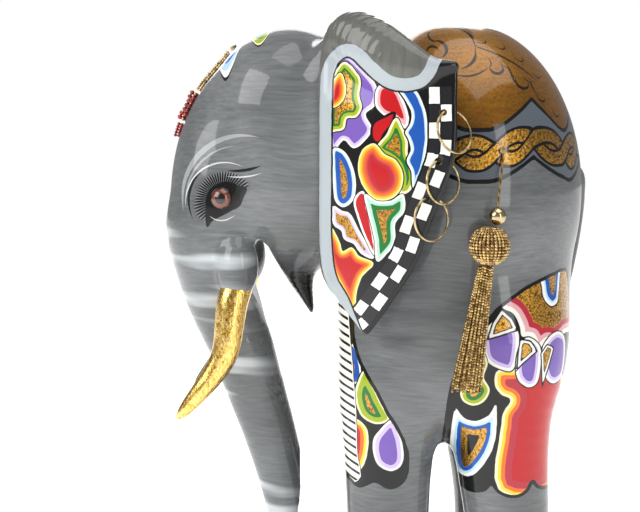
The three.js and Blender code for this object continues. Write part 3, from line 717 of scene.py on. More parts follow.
def layBands(coat, name, bands, soft=False, inside=None):
    # nested colours inside an outline, from its black edge inwards
    tree = coat["tree"]
    depth = depthOf(coat, name)
    reach = bands[-1][0] + 3
    ramp = addNode(tree, "ShaderNodeValToRGB", links={"Fac": mathOf(tree, "DIVIDE", depth, reach)})
    elements = ramp.color_ramp.elements
    stops = [(0.0, "black")]
    for order, (at, colour) in enumerate(bands):
        if order == 0 or not soft:
            stops.append(((at - 0.12) / reach, stops[-1][1]))
            stops.append(((at + 0.12) / reach, colour))
        else:
            stops.append((at / reach, colour))
    elements.remove(elements[1])
    elements[0].color = paintColour("black")
    for at, colour in stops[1:]:
        elements.new(at).color = paintColour(colour)
    if inside is not None:
        depth = mathOf(tree, "MINIMUM", depth, inside)
    mask = mathOf(tree, "GREATER_THAN", depth, 0)
    layOver(coat, mask, ramp.outputs["Color"], mathOf(tree, "SUBTRACT", 1, ramp.outputs["Alpha"]))


def layLine(coat, name, width, colour="black"):
    near = mathOf(coat["tree"], "ABSOLUTE", depthOf(coat, name))
    layOver(coat, mathOf(coat["tree"], "LESS_THAN", near, width / 2), colour)


def strokeMask(coat, strokes):
    # tapered brush strokes along arcs
    tree = coat["tree"]
    across = mathOf(tree, "ADD", attributeOf(tree, "sideY"), coat["wobble"])
    height = attributeOf(tree, "sideZ")
    total = coat["leaf"]
    found = None
    for y, z, radius, start, end, half in strokes:
        across = mathOf(tree, "MULTIPLY_ADD", total, 1e-6, across)      # again one after another
        at = addNode(tree, "ShaderNodeCombineXYZ", links={"X": across, "Y": height}).outputs[0]
        middle, span = math.radians((start + end) / 2), math.radians((end - start) / 2)
        arm = addNode(tree, "ShaderNodeVectorMath", {"operation": "SUBTRACT", 1: (y, z, 0)},
                      {0: at}).outputs[0]
        length = addNode(tree, "ShaderNodeVectorMath", {"operation": "LENGTH"}, {0: arm}).outputs["Value"]
        ahead = addNode(tree, "ShaderNodeVectorMath",
                        {"operation": "DOT_PRODUCT", 1: (math.cos(middle), math.sin(middle), 0)},
                        {0: arm}).outputs["Value"]
        beside = addNode(tree, "ShaderNodeVectorMath",
                         {"operation": "DOT_PRODUCT", 1: (-math.sin(middle), math.cos(middle), 0)},
                         {0: arm}).outputs["Value"]
        turn = mathOf(tree, "DIVIDE", mathOf(tree, "ARCTAN2", beside, ahead), span)
        width = mathOf(tree, "MULTIPLY_ADD", mathOf(tree, "MULTIPLY", turn, turn), -half, half)
        away = mathOf(tree, "ABSOLUTE", mathOf(tree, "SUBTRACT", length, radius))
        one = mathOf(tree, "LESS_THAN", away, width)
        found = one if found is None else mathOf(tree, "MAXIMUM", found, one)
        total = found
    return found


def finishCoat(coat, shader, leafBump=1.0):
    # clear gloss lacquer over everything; leaf is metal and a little wrinkled
    tree = coat["tree"]
    wrinkles = addNode(tree, "ShaderNodeTexNoise", {"Scale": 1000 / paintSet["wrinkle"], "Detail": 4,
                                                    "Roughness": 0.65}, {"Vector": coat["place"]})
    tarnish = addNode(tree, "ShaderNodeMapRange", {"From Min": 0.34, "From Max": 0.54},
                      {"Value": wrinkles.outputs["Fac"]}).outputs["Result"]
    worn = mixOf(tree, tarnish, "#3F2509", coat["colour"])
    tree.links.new(mixOf(tree, coat["leaf"], coat["colour"], worn), shader.inputs["Base Color"])
    tree.links.new(coat["leaf"], shader.inputs["Metallic"])
    rough = mathOf(tree, "MULTIPLY_ADD", coat["leaf"], paintSet["leafRoughness"] - paintSet["roughness"],
                   paintSet["roughness"])
    tree.links.new(rough, shader.inputs["Roughness"])
    ripple = mathOf(tree, "MULTIPLY", wrinkles.outputs["Fac"],
                    mathOf(tree, "MULTIPLY", coat["leaf"], 3 * leafBump))
    height = mathOf(tree, "ADD", ripple, mathOf(tree, "MULTIPLY", coat["strokes"], 0.35))
    bump = addNode(tree, "ShaderNodeBump", {"Strength": 0.5, "Distance": 0.00025}, {"Height": height})
    tree.links.new(bump.outputs["Normal"], shader.inputs["Normal"])
    shader.inputs["Coat Weight"].default_value = paintSet["lacquer"]
    shader.inputs["Coat Roughness"].default_value = paintSet["lacquerRoughness"]
    shader.inputs["Specular IOR Level"].default_value = 0.1      # there is no air between paint and varnish


def laySlateAndStrap(coat):
    # the scalloped hem: slate ground, a gold strap twisted along it, black lines
    tree = coat["tree"]
    layOver(coat, mathOf(tree, "GREATER_THAN", depthOf(coat, "blanket"), 0), "slate")
    turn = mathOf(tree, "MULTIPLY", attributeOf(tree, "strapAlong"), math.pi / blanketSet["crossing"])
    rise, run = mathOf(tree, "SINE", turn), mathOf(tree, "COSINE", turn)
    offset = mathOf(tree, "ADD", attributeOf(tree, "strapOffset"), coat["wobble"])
    steep = mathOf(tree, "MULTIPLY_ADD", mathOf(tree, "MULTIPLY", rise, rise), 0.23, 0.77)
    swing = mathOf(tree, "MULTIPLY", rise, blanketSet["swing"])
    upper, lower = [mathOf(tree, "MULTIPLY", mathOf(tree, "ABSOLUTE", mathOf(tree, way, offset, swing)),
                           steep)
                    for way in ("SUBTRACT", "ADD")]
    eye = mathOf(tree, "LESS_THAN", mathOf(tree, "ABSOLUTE", offset), mathOf(tree, "ABSOLUTE", swing))
    onBlanket = mathOf(tree, "GREATER_THAN", attributeOf(tree, "blanket"), 0)
    layOver(coat, mathOf(tree, "MULTIPLY", eye, onBlanket), "leaf", 1.0)
    front = mathOf(tree, "GREATER_THAN", run, 0)
    both = mathOf(tree, "ADD", upper, lower)
    over = mathOf(tree, "ADD", mathOf(tree, "MULTIPLY", upper, front),
                  mathOf(tree, "MULTIPLY", lower, mathOf(tree, "SUBTRACT", 1, front)))
    under = mathOf(tree, "SUBTRACT", both, over)
    for away in (under, over):
        edge = mathOf(tree, "LESS_THAN", away, blanketSet["strand"] + 1.7)
        layOver(coat, mathOf(tree, "MULTIPLY", edge, onBlanket), "black")
        fill = mathOf(tree, "LESS_THAN", away, blanketSet["strand"])
        layOver(coat, mathOf(tree, "MULTIPLY", fill, onBlanket), "leaf", 1.0)
    layLine(coat, "blanket", blanketSet["line"])


def layCloth(coat):
    # satin gold paint with dark brown scrolls
    tree = coat["tree"]
    cloth = depthOf(coat, "cloth")
    on = mathOf(tree, "GREATER_THAN", cloth, 0)
    glow = addNode(tree, "ShaderNodeMapRange", {"From Min": 0, "From Max": 42},
                   {"Value": cloth}).outputs["Result"]
    gold = mixOf(tree, glow, "#72480A", "#8E5E10")
    gold = mixOf(tree, coat["strokes"], gold, mixOf(tree, glow, "#84560E", "#A06C18"))
    layOver(coat, on, gold, 0.5)
    scrolls = mathOf(tree, "MULTIPLY", strokeMask(coat, scrollStrokes), on)
    layOver(coat, scrolls, "#180A06")
    layLine(coat, "cloth", blanketSet["line"])


def layEye(coat):
    # painted lids: a black almond round the glass, a fringe of lashes, brow lines, and a painted highlight
    # on the brow folds
    tree = coat["tree"]
    y = mathOf(tree, "ADD", attributeOf(tree, "sideY"), -eyeSet["y"])
    z = mathOf(tree, "ADD", attributeOf(tree, "sideZ"), -eyeSet["z"])
    spoke = mathOf(tree, "ARCTAN2", z, y)
    hair = mathOf(tree, "SINE", mathOf(tree, "MULTIPLY", spoke, 58))
    lash = attributeOf(tree, "lashPanel")
    onLash = mathOf(tree, "GREATER_THAN", lash, 0)
    shadow = addNode(tree, "ShaderNodeMapRange", {"From Min": -3, "From Max": 5},
                     {"Value": lash}).outputs["Result"]
    layOver(coat, mathOf(tree, "MULTIPLY", shadow, 0.8), "#303236")
    reach = mathOf(tree, "MULTIPLY_ADD", lash, -0.4, 0.7)
    layOver(coat, mathOf(tree, "MULTIPLY", mathOf(tree, "GREATER_THAN", hair, reach), onLash), "black")
    pale = mathOf(tree, "LESS_THAN", hair, -0.86)
    layOver(coat, mathOf(tree, "MULTIPLY", mathOf(tree, "MULTIPLY", pale, onLash), 0.55), "#A9ABB0")
    layOver(coat, mathOf(tree, "GREATER_THAN", depthOf(coat, "eyePanel"), 0), "black")
    # painted highlight on the raised folds of the brow
    layOver(coat, mathOf(tree, "MULTIPLY", strokeMask(coat, foldHighlightStrokes), 0.4), "#C9CCCE")
    layOver(coat, mathOf(tree, "MULTIPLY", strokeMask(coat, paleStrokes), 0.8), "#D9DBDC")
    layOver(coat, strokeMask(coat, browStrokes), "#17181A")


def lacqueredPaint():
    # artist's acrylic brushed over the smoothed carving, motifs by hand, then clear gloss varnish:
    # the eye sees fine hair strokes in the grey, crisp black outlines and a sharp wet highlight
    material, tree, shader = newMaterial("brushedAcrylicUnderLacquer")
    coat = startCoat(tree, (paintSet["greyDark"], paintSet["grey"], paintSet["greyLight"]))
    run = attributeOf(tree, "trunkRun")
    bars = addNode(tree, "ShaderNodeVectorMath", {"operation": "MULTIPLY", 1: (8, 8, 70)},
                   {0: coat["place"]}).outputs[0]
    barNoise = addNode(tree, "ShaderNodeTexNoise", {"Scale": 1, "Detail": 2}, {"Vector": bars})
    streak = addNode(tree, "ShaderNodeMapRange", {"From Min": 0.53, "From Max": 0.66},
                     {"Value": barNoise.outputs["Fac"]}).outputs["Result"]
    layOver(coat, mathOf(tree, "MULTIPLY", run, 0.15), paintSet["trunkDark"])
    layOver(coat, mathOf(tree, "MULTIPLY", mathOf(tree, "MULTIPLY", streak, run), 0.85),
            paintSet["trunkPale"])
    # painted shade in dark grey behind the trunk
    layOver(coat, mathOf(tree, "MULTIPLY", attributeOf(tree, "shadeBehindTrunk"), 0.7), paintSet["jaw"])
    layOver(coat, mathOf(tree, "MULTIPLY", attributeOf(tree, "jawShade"), 0.9), paintSet["jaw"])
    # painted shadow of the ear on the flank
    layOver(coat, mathOf(tree, "MULTIPLY", attributeOf(tree, "earShadow"), 0.75), paintSet["jaw"])
    laySlateAndStrap(coat)
    layCloth(coat)
    for panel, motifs in (("thighPanel", thighMotifs), ("chestPanel", chestMotifs)):
        inside = depthOf(coat, panel)
        layOver(coat, mathOf(tree, "GREATER_THAN", inside, 0), "black")
        for name, (_, bands) in motifs.items():
            layBands(coat, name, bands, inside=inside)
        layLine(coat, panel, 2.2)
    slant = mathOf(tree, "MULTIPLY_ADD", attributeOf(tree, "sideY"), 0.35, attributeOf(tree, "sideZ"))
    rung = mathOf(tree, "PINGPONG", slant, 2.6)
    within = mathOf(tree, "MINIMUM", depthOf(coat, "ladder"), depthOf(coat, "chestPanel"))
    rungs = mathOf(tree, "MULTIPLY", mathOf(tree, "LESS_THAN", rung, 0.9),
                   mathOf(tree, "GREATER_THAN", within, 1))
    layOver(coat, rungs, "black")
    layEye(coat)
    layBands(coat, "capLime", [(1.4, "cream"), (3, "lime"), (8, "green")])
    layBands(coat, "capSky", [(1.6, "white"), (5, "paleBlue"), (11, "blue")])
    layBands(coat, "nail", [(0.6, "white"), (2.4, "pink")])
    finishCoat(coat, shader)
    return material


# ---- ear paint
earMotifs = {
    "panel": ([(-30, 315), (-22, 321), (-16, 316), (-9, 321), (-5.4, 328), (-9, 336), (-3.6, 341),
               (-2, 350),
               (-8, 360), (-20, 371), (-31, 366)],
              [(1, "white"), (2.1, "lilac"), (3.6, "purple")]),
    "bud": ([(-31, 328), (-26, 326.4), (-21.6, 328), (-20, 334), (-14.6, 334.6), (-11.4, 340), (-13, 347),
             (-12, 355), (-15, 361), (-21.6, 366.8), (-27.6, 360), (-31, 350)],
            [(0.7, "cream"), (1.9, "lime"), (3.8, "green"), (5.1, "leaf")]),
    "budHeart": ([(-31, 340.4), (-25.4, 341.4), (-21.6, 346), (-21, 353), (-23.6, 360.6), (-28, 356),
                  (-31, 350)],
                 [(0.6, "cream"), (1.5, "yellow"), (3, "orange"), (4.8, "red")]),
    "paisley": ([(-3.4, 343), (-2.6, 350.6), (2, 354), (8, 352), (12.4, 344), (15.4, 334), (13.8, 328),
                 (9.6, 331.6), (6.4, 334), (1.6, 335.6), (-2, 339)],
                [(0.6, "white"), (2, "pink"), (3.6, "red")]),
    "comma": ([(-5.6, 326.6), (-3.6, 331.6), (1.6, 334.4), (7.4, 336.6), (5.4, 330), (1.6, 325),
               (-1.2, 319.6),
               (-4.6, 321)],
              [(1.5, "red")]),
    "tongue": ([(8, 333.6), (11.6, 328.6), (14.6, 321), (15, 313), (18, 306), (18.8, 298), (16, 291.4),
                (10.6, 290.6),
               (12, 299), (8.6, 308), (0, 313.6), (-3.4, 316.4), (3, 324)],
              [(0.6, "cream"), (2, "lime"), (3.6, "green"), (5, "leaf")]),
    "heart": ([(-12.8, 310), (-9.4, 316.6), (-3.6, 319), (1.6, 313), (8, 309.6), (12.2, 302), (11.4, 293),
               (5.4, 287), (-3, 286.6), (-9.4, 292.6), (-12.8, 301)],
              [(0.7, "cream"), (1.8, "yellow"), (3.8, "orange"), (6.4, "crimson"), (9, "red")]),
    "crescent": ([(9, 352), (17.6, 351.4), (23.4, 343), (26.2, 331), (26.2, 318), (23.6, 304),
                  (18.4, 293.6),
                  (17.4, 303), (14.6, 309.4), (17, 315.6), (15.6, 321.6), (13.6, 325.6), (16.6, 330.6),
                  (17.2, 337), (13.6, 344)],
                 [(0.9, "white"), (1.8, "paleBlue"), (2.6, "blue")]),
    "dropBlue": ([(-28.4, 315), (-21.4, 314), (-16.6, 305), (-14.8, 294.6), (-16.4, 286), (-21.6, 281.6),
                  (-26.6, 285), (-28, 296)],
                 [(0.7, "white"), (1.9, "paleBlue"), (2.7, "blue"), (5.4, "leaf")]),
    "leafGold": ([(-28, 281), (-23, 278.6), (-18, 277), (-12, 266), (-4.2, 252.4), (-11, 254.4),
                  (-15.6, 260),
                  (-21, 262.4), (-23, 267.6), (-27.6, 271)],
                 [(0.5, "white"), (1.9, "lilac"), (3, "leaf")]),
    "wedge": ([(-15.4, 285), (-10.4, 291), (-8, 282), (-5, 269), (-3.2, 254), (-7.4, 260.6), (-12.4, 273)],
              [(0.5, "white"), (1.7, "red")]),
    "sprig": ([(-9.4, 289), (-3, 285.4), (6, 285.6), (12.6, 289.6), (13.2, 280), (8, 273), (8, 262),
               (3, 254.4),
               (-2.2, 250.6), (-3.2, 262), (-6.4, 276)],
              [(0.5, "white"), (1.8, "mint"), (3.2, "green"), (5.6, "leaf")]),
    "ember": ([(-31, 270), (-25, 261), (-22.4, 254.4), (-17, 257), (-12.6, 252), (-4.6, 248.6), (-11, 241),
               (-14.4, 231), (-15.8, 220.6), (-22, 232), (-27, 241), (-31, 252)],
              [(0.4, "cream"), (1.5, "yellow"), (3, "orange"), (5, "red")]),
}
earField2D = [(-28.4, 350), (-27, 362), (-22.6, 368.4), (-17.6, 368.6), (-11, 362), (-4, 355.4), (4, 350.4),
              (12.6, 348.8), (20, 349.6), (26, 352.4), (31, 358.6), (34.4, 366), (43, 372), (56, 366),
              (56, 300),
              (34, 240), (0, 186), (-9, 204), (-18.6, 227), (-26, 240), (-28.7, 262), (-28.7, 310)]
earPaint = {"rim": 7.6, "edge": 3, "square": (6.7, 10.2), "columns": 2, "gap": 0.35, "grow": 0.9}
softMotifs = ("budHeart", "heart", "ember")


def alongLine(y, z, line):
    # distance to an open line, and how far along it the nearest place is
    best, along, run = np.full(y.shape, 1e9), np.zeros(y.shape), 0.0
    for (ay, az), (by, bz) in zip(line[:-1], line[1:]):
        ry, rz = by - ay, bz - az
        t = np.clip(((y - ay) * ry + (z - az) * rz) / (ry * ry + rz * rz), 0, 1)
        away = np.hypot(y - ay - t * ry, z - az - t * rz)
        closer = away < best
        best = np.where(closer, away, best)
        along = np.where(closer, run + t * math.hypot(ry, rz), along)
        run += math.hypot(ry, rz)
    return best, along


def earLayers(p):
    x, y, z = p.T
    rear = smoothCurve(earOutline[:11], 4)
    away, along = alongLine(y, z, rear)
    layers = {"face": x - earX(y, z), "earField": layerOf(earField2D, y, z), "rearEdge": away,
              "rearRun": along,
              "sideY": y, "sideZ": z}
    for name, (outline, _) in earMotifs.items():
        layers[name] = layerOf(outline, y, z) + earPaint["grow"]
    return layers


def layChequer(coat):
    tree = coat["tree"]
    inward = mathOf(tree, "ADD", attributeOf(tree, "rearEdge"), coat["wobble"])
    run = mathOf(tree, "ADD", attributeOf(tree, "rearRun"), coat["wobble"])
    wide, tall = earPaint["square"]
    column = mathOf(tree, "DIVIDE", mathOf(tree, "SUBTRACT", inward, earPaint["edge"]), wide)
    row = mathOf(tree, "DIVIDE", mathOf(tree, "ADD", run, -10), tall)
    parity = mathOf(tree, "ADD", mathOf(tree, "FLOOR", column), mathOf(tree, "FLOOR", row))
    odd = mathOf(tree, "FLOORED_MODULO", parity, 2)
    inColumns = mathOf(tree, "MULTIPLY", mathOf(tree, "GREATER_THAN", column, 0),
                       mathOf(tree, "LESS_THAN", column, earPaint["columns"]))
    inRows = mathOf(tree, "GREATER_THAN", row, 0)
    on = mathOf(tree, "MULTIPLY", mathOf(tree, "MULTIPLY", inColumns, inRows), coat["painted"])
    band = mathOf(tree, "LESS_THAN", column, earPaint["columns"] + 0.12)
    layOver(coat, mathOf(tree, "MULTIPLY", band, coat["painted"]), "black")
    layOver(coat, on, paintSet["chequerDark"])
    layOver(coat, mathOf(tree, "MULTIPLY", on, odd), "white")
    for value, size in ((column, wide), (row, tall)):
        middle = mathOf(tree, "ABSOLUTE", mathOf(tree, "SUBTRACT", mathOf(tree, "FRACT", value), 0.5))
        line = mathOf(tree, "GREATER_THAN", middle, 0.5 - earPaint["gap"] / size)
        layOver(coat, mathOf(tree, "MULTIPLY", on, line), "black")


def earLacquer():
    # the same brushed acrylic and gloss varnish; the ear's face carries the brightest motifs
    material, tree, shader = newMaterial("paintedEarUnderLacquer")
    coat = startCoat(tree, (paintSet["foldDark"], paintSet["foldMiddle"], paintSet["foldLight"]),
                     (5, 3, 26))
    field = depthOf(coat, "earField")
    face = mathOf(tree, "GREATER_THAN", attributeOf(tree, "face"), 0)
    nearField = mathOf(tree, "GREATER_THAN", field, -earPaint["rim"])
    rim = mathOf(tree, "MULTIPLY", nearField, face)
    layOver(coat, mathOf(tree, "MULTIPLY", rim, 0.85), paintSet["rim"])
    coat["painted"] = mathOf(tree, "MULTIPLY", mathOf(tree, "GREATER_THAN", field, 0), face)
    layOver(coat, coat["painted"], "black")
    inside = mathOf(tree, "MULTIPLY_ADD", face, 40, mathOf(tree, "SUBTRACT", field, 40))
    for name, (_, bands) in earMotifs.items():
        layBands(coat, name, bands, name in softMotifs, inside)
    layChequer(coat)
    outline = mathOf(tree, "LESS_THAN", mathOf(tree, "ABSOLUTE", field), 0.55)
    layOver(coat, mathOf(tree, "MULTIPLY", outline, face), "black")
    edge = mathOf(tree, "LESS_THAN", attributeOf(tree, "rearEdge"), earPaint["edge"])
    layOver(coat, mathOf(tree, "MULTIPLY", edge, mathOf(tree, "GREATER_THAN", field, -3)), "black")
    finishCoat(coat, shader)
    return material


# ---- cutting the skin at the joints
def cutPiece(name, node, keep, cuts):
    # the part of the skin that keep() chooses, trimmed flat by each cut and closed there
    chosen = skinQuads[keep(skinPoints)[skinQuads].all(1)]
    used, local = np.unique(chosen, return_inverse=True)
    piece = makeObject(name, skinPoints[used] * mm, local.reshape(-1, 4), skinPaint)
    for layer, values in skinLayerValues.items():
        writeLayer(piece, layer, values[used])
    work = bmesh.new()
    work.from_mesh(piece.data)
    for at, normal, chooses in cuts:
        centres = np.array([f.calc_center_median() for f in work.faces]) / mm
        faces = [f for f, hit in zip(work.faces, chooses(centres)) if hit]
        # dict.fromkeys keeps their order, so every run closes the cuts alike
        corners = dict.fromkeys(corner for face in faces for corner in face.verts)
        edges = dict.fromkeys(edge for face in faces for edge in face.edges)
        geometry = list(corners) + list(edges) + faces
        bmesh.ops.bisect_plane(work, geom=geometry, dist=1e-7, plane_co=Vector(at) * mm,
                               plane_no=Vector(normal), clear_outer=True)
    loose = [v for v in work.verts if not v.link_faces]
    bmesh.ops.delete(work, geom=loose, context="VERTS")
    rims = [e for e in work.edges if e.is_boundary]
    caps = bmesh.ops.holes_fill(work, edges=rims, sides=0)["faces"]
    bmesh.ops.triangulate(work, faces=caps)
    bmesh.ops.recalc_face_normals(work, faces=work.faces)
    work.to_mesh(piece.data)
    work.free()
    piece.data.set_sharp_from_angle(angle=math.radians(50))
    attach(piece, "root")
    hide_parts(node)
    return piece


skinPaint = lacqueredPaint()
neckAt = (0, *carving["neckFoot"])
ahead, behind = tuple(neckNormal), tuple(-neckNormal)
up, down = (0, 0, 1), (0, 0, -1)
legTop, trunkPlane, jawPlane = [carving[plane] for plane in ("legTop", "trunkPlane", "jawPlane")]
legCut, trunkCut, jawCut = [(0, 0, height) for height in (legTop, trunkPlane, jawPlane)]
overcut = 4                       # mm of skin kept past a cut until it is trimmed
jawFoot, legsApart, chestFront = 200, 46, -30


def everywhere(places):
    return np.ones(len(places), bool)


cutPiece("torsoSkin", "torso",
         lambda p: (behindNeck(p) > -overcut) & (p[:, 2] > legTop - overcut),
         [(neckAt, behind, everywhere), (legCut, down, everywhere)])
cutPiece("headSkin", "head",
         lambda p: (behindNeck(p) < overcut)
         & (p[:, 2] > np.where(trunkSide(p), trunkPlane, jawPlane) - overcut),
         [(neckAt, ahead, everywhere), (trunkCut, down, trunkSide),
          (jawCut, down, lambda c: ~trunkSide(c))])
cutPiece("trunkSkin", "trunk",
         lambda p: (behindNeck(p) < overcut) & trunkSide(p) & (p[:, 2] < trunkPlane + overcut),
         [(trunkCut, up, everywhere)])
cutPiece("lowerJaw", "lower_jaw",
         lambda p: (behindNeck(p) < overcut) & ~trunkSide(p)
         & (p[:, 2] < jawPlane + overcut) & (p[:, 2] > jawFoot),
         [(jawCut, up, everywhere), (neckAt, ahead, everywhere)])
for end, middle in (("front", 1), ("rear", -1)):
    for side, sign in (("left", 1), ("right", -1)):
        cutPiece(f"leg.{end}.{side}", f"leg_{end}_{side}",
                 lambda p: (p[:, 2] < legTop + overcut) & (p[:, 0] * sign > 0)
                 & ((legsApart - p[:, 1]) * middle > 0) & (p[:, 1] > chestFront),
                 [(legCut, up, everywhere)])
print("skin cut at the joints")

earPoints, earQuads = buildEar()
earPaintMaterial = earLacquer()
for side, sign in (("left", 1), ("right", -1)):
    quads = earQuads if sign > 0 else earQuads[:, ::-1]
    ear = makeObject(f"ear.{side}", earPoints * np.array([sign, 1, 1]) * mm, quads, earPaintMaterial)
    for layer, values in earLayers(earPoints).items():
        writeLayer(ear, layer, values)
    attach(ear, "root")
    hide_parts(f"ear_{side}")
print("ears", len(earPoints), "points each")


# ---- turned and swept shapes
def loftMesh(stations, sides, perSpan=6):
    # closed body through stations (x, y, z, half width, half depth), rounded off at both ends
    line = smoothCurve(stations, perSpan)
    middle = line[:, :3]
    heading = np.gradient(middle, axis=0)
    heading /= np.linalg.norm(heading, axis=1)[:, None]
    across = np.cross(heading, np.cross([1.0, 0, 0], heading))
    across /= np.linalg.norm(across, axis=1)[:, None]
    beside = np.cross(heading, across)
    turns = np.linspace(0, 2 * math.pi, sides, endpoint=False)
    rings = (middle[:, None] + across[:, None] * (np.cos(turns)[None, :, None] * line[:, 3, None, None])
             + beside[:, None] * (np.sin(turns)[None, :, None] * line[:, 4, None, None]))
    start = middle[0] - heading[0] * min(line[0, 3:5]) * 0.5
    end = middle[-1] + heading[-1] * min(line[-1, 3:5]) * 0.7
    points = np.concatenate([rings.reshape(-1, 3), [start], [end]])
    faces = []
    count = len(line)
    for i in range(count - 1):
        for k in range(sides):
            faces.append((i * sides + k, i * sides + (k + 1) % sides, (i + 1) * sides + (k + 1) % sides,
                          (i + 1) * sides + k))
    for k in range(sides):
        faces.append(((k + 1) % sides, k, count * sides))
        faces.append(((count - 1) * sides + k, (count - 1) * sides + (k + 1) % sides, count * sides + 1))
    return points, faces


def latheMesh(profile, sides):
    # (radius, height) from one pole to the other
    points, faces = [], []
    inner = profile[1:-1]
    for radius, height in inner:
        for k in range(sides):
            turn = 2 * math.pi * k / sides
            points.append((radius * math.cos(turn), radius * math.sin(turn), height))
    count = len(inner)
    points += [(0, 0, profile[0][1]), (0, 0, profile[-1][1])]
    for i in range(count - 1):
        for k in range(sides):
            faces.append((i * sides + k, i * sides + (k + 1) % sides, (i + 1) * sides + (k + 1) % sides,
                          (i + 1) * sides + k))
    for k in range(sides):
        faces.append(((k + 1) % sides, k, count * sides))
        faces.append(((count - 1) * sides + k, (count - 1) * sides + (k + 1) % sides, count * sides + 1))
    return np.array(points, float), faces


def outward(piece):
    work = bmesh.new()
    work.from_mesh(piece.data)
    bmesh.ops.recalc_face_normals(work, faces=work.faces)
    work.to_mesh(piece.data)
    work.free()
    return piece


def beadShape(level=1):
    work = bmesh.new()
    bmesh.ops.create_icosphere(work, subdivisions=level, radius=1)
    points = np.array([v.co for v in work.verts])
    faces = [tuple(v.index for v in f.verts) for f in work.faces]
    work.free()
    return points, faces


def strewBeads(places, sizes, shape):
    # one mesh of many beads; sizes are (x, y, z) half sizes
    points, faces = shape
    total, listed = [], []
    for i, (place, size) in enumerate(zip(places, sizes)):
        total.append(points * size + place)
        listed += [tuple(index + i * len(points) for index in face) for face in faces]
    return np.concatenate(total), listed


def boxMiddle(node):
    low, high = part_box(node)
    return (np.array(low) + np.array(high)) / 2 / mm


# ---- finishes of the small pieces
finishSet = {
    "leafLight": "#F7D688", "leaf": "#E0AE48", "leafDark": "#6B4210",
    "leafSheet": 9,               # mm across a torn piece
    "brass": "#D8C294", "brassDark": "#A08A58",
    "beadLight": "#E6C884", "beadDark": "#765220", "ball": "#CDBB96",
    "ruby": "#B0160F", "rubyDark": "#5C0806",
    "felt": "#26272A", "wood": "#B98F5E", "woodDark": "#8A6238",
}


def noiseOf(tree, place, size, detail=2, stretch=(1, 1, 1)):
    # a noise whose lumps are about size mm across
    scaled = addNode(tree, "ShaderNodeVectorMath", {"operation": "MULTIPLY", 1: stretch},
                     {0: place}).outputs[0]
    return addNode(tree, "ShaderNodeTexNoise", {"Scale": 1000 / size, "Detail": detail},
                   {"Vector": scaled}).outputs["Fac"]


def spreadOf(tree, value, low, high):
    return addNode(tree, "ShaderNodeMapRange", {"From Min": low, "From Max": high},
                   {"Value": value}).outputs["Result"]


def goldLeaf():
    # imitation gold leaf laid in torn pieces over dark size: bright metal with wrinkles and dark cracks
    material, tree, shader = newMaterial("goldLeafOverDarkSize")
    place = addNode(tree, "ShaderNodeTexCoord").outputs["Object"]
    sheets = addNode(tree, "ShaderNodeTexVoronoi",
                     {"feature": "DISTANCE_TO_EDGE", "Scale": 1000 / finishSet["leafSheet"]},
                     {"Vector": place}).outputs["Distance"]
    wrinkles = noiseOf(tree, place, paintSet["wrinkle"], 5, (1, 1, 0.5))
    colour = mixOf(tree, spreadOf(tree, wrinkles, 0.4, 0.62), finishSet["leaf"], finishSet["leafLight"])
    cracks = mathOf(tree, "ADD", spreadOf(tree, sheets, 0, 0.05), spreadOf(tree, wrinkles, 0.4, 0.5))
    colour = mixOf(tree, mathOf(tree, "MINIMUM", cracks, 1), finishSet["leafDark"], colour)
    tree.links.new(colour, shader.inputs["Base Color"])
    shader.inputs["Metallic"].default_value = 1
    tree.links.new(mathOf(tree, "MULTIPLY_ADD", wrinkles, 0.25, 0.1), shader.inputs["Roughness"])
    bump = addNode(tree, "ShaderNodeBump", {"Strength": 0.55, "Distance": 0.0006}, {"Height": wrinkles})
    tree.links.new(bump.outputs["Normal"], shader.inputs["Normal"])
    shader.inputs["Coat Weight"].default_value = 0.3
    shader.inputs["Coat Roughness"].default_value = 0.06
    return material


def drawnBrass():
    # drawn wire and turned pins in pale brass, slightly tarnished in patches
    material, tree, shader = newMaterial("drawnPaleBrass")
    place = addNode(tree, "ShaderNodeTexCoord").outputs["Object"]
    tarnish = noiseOf(tree, place, 3, 3)
    tree.links.new(mixOf(tree, spreadOf(tree, tarnish, 0.35, 0.6), finishSet["brassDark"],
                         finishSet["brass"]),
                   shader.inputs["Base Color"])
    shader.inputs["Metallic"].default_value = 1
    tree.links.new(mathOf(tree, "MULTIPLY_ADD", tarnish, 0.2, 0.18), shader.inputs["Roughness"])
    return material


def beadGlass(name, dark, light, metallic, roughness):
    # seed beads, each a slightly different tone, faceted so that single beads glint
    material, tree, shader = newMaterial(name)
    tone = attributeOf(tree, "tone")
    tree.links.new(mixOf(tree, tone, dark, light), shader.inputs["Base Color"])
    shader.inputs["Metallic"].default_value = metallic
    tree.links.new(mathOf(tree, "MULTIPLY_ADD", tone, 0.12, roughness), shader.inputs["Roughness"])
    shader.inputs["Coat Weight"].default_value = 0.6
    shader.inputs["Coat Roughness"].default_value = 0.04
    return material


def satinBall():
    # electroplated bead: champagne metal, satin with a soft orange-peel
    material, tree, shader = newMaterial("platedSatinBead")
    place = addNode(tree, "ShaderNodeTexCoord").outputs["Object"]
    peel = noiseOf(tree, place, 1.2, 2)
    tree.links.new(mixOf(tree, spreadOf(tree, peel, 0.3, 0.7), "#B5A17A", finishSet["ball"]),
                   shader.inputs["Base Color"])
    shader.inputs["Metallic"].default_value = 1
    shader.inputs["Roughness"].default_value = 0.2
    bump = addNode(tree, "ShaderNodeBump", {"Strength": 0.15, "Distance": 0.0002}, {"Height": peel})
    tree.links.new(bump.outputs["Normal"], shader.inputs["Normal"])
    return material


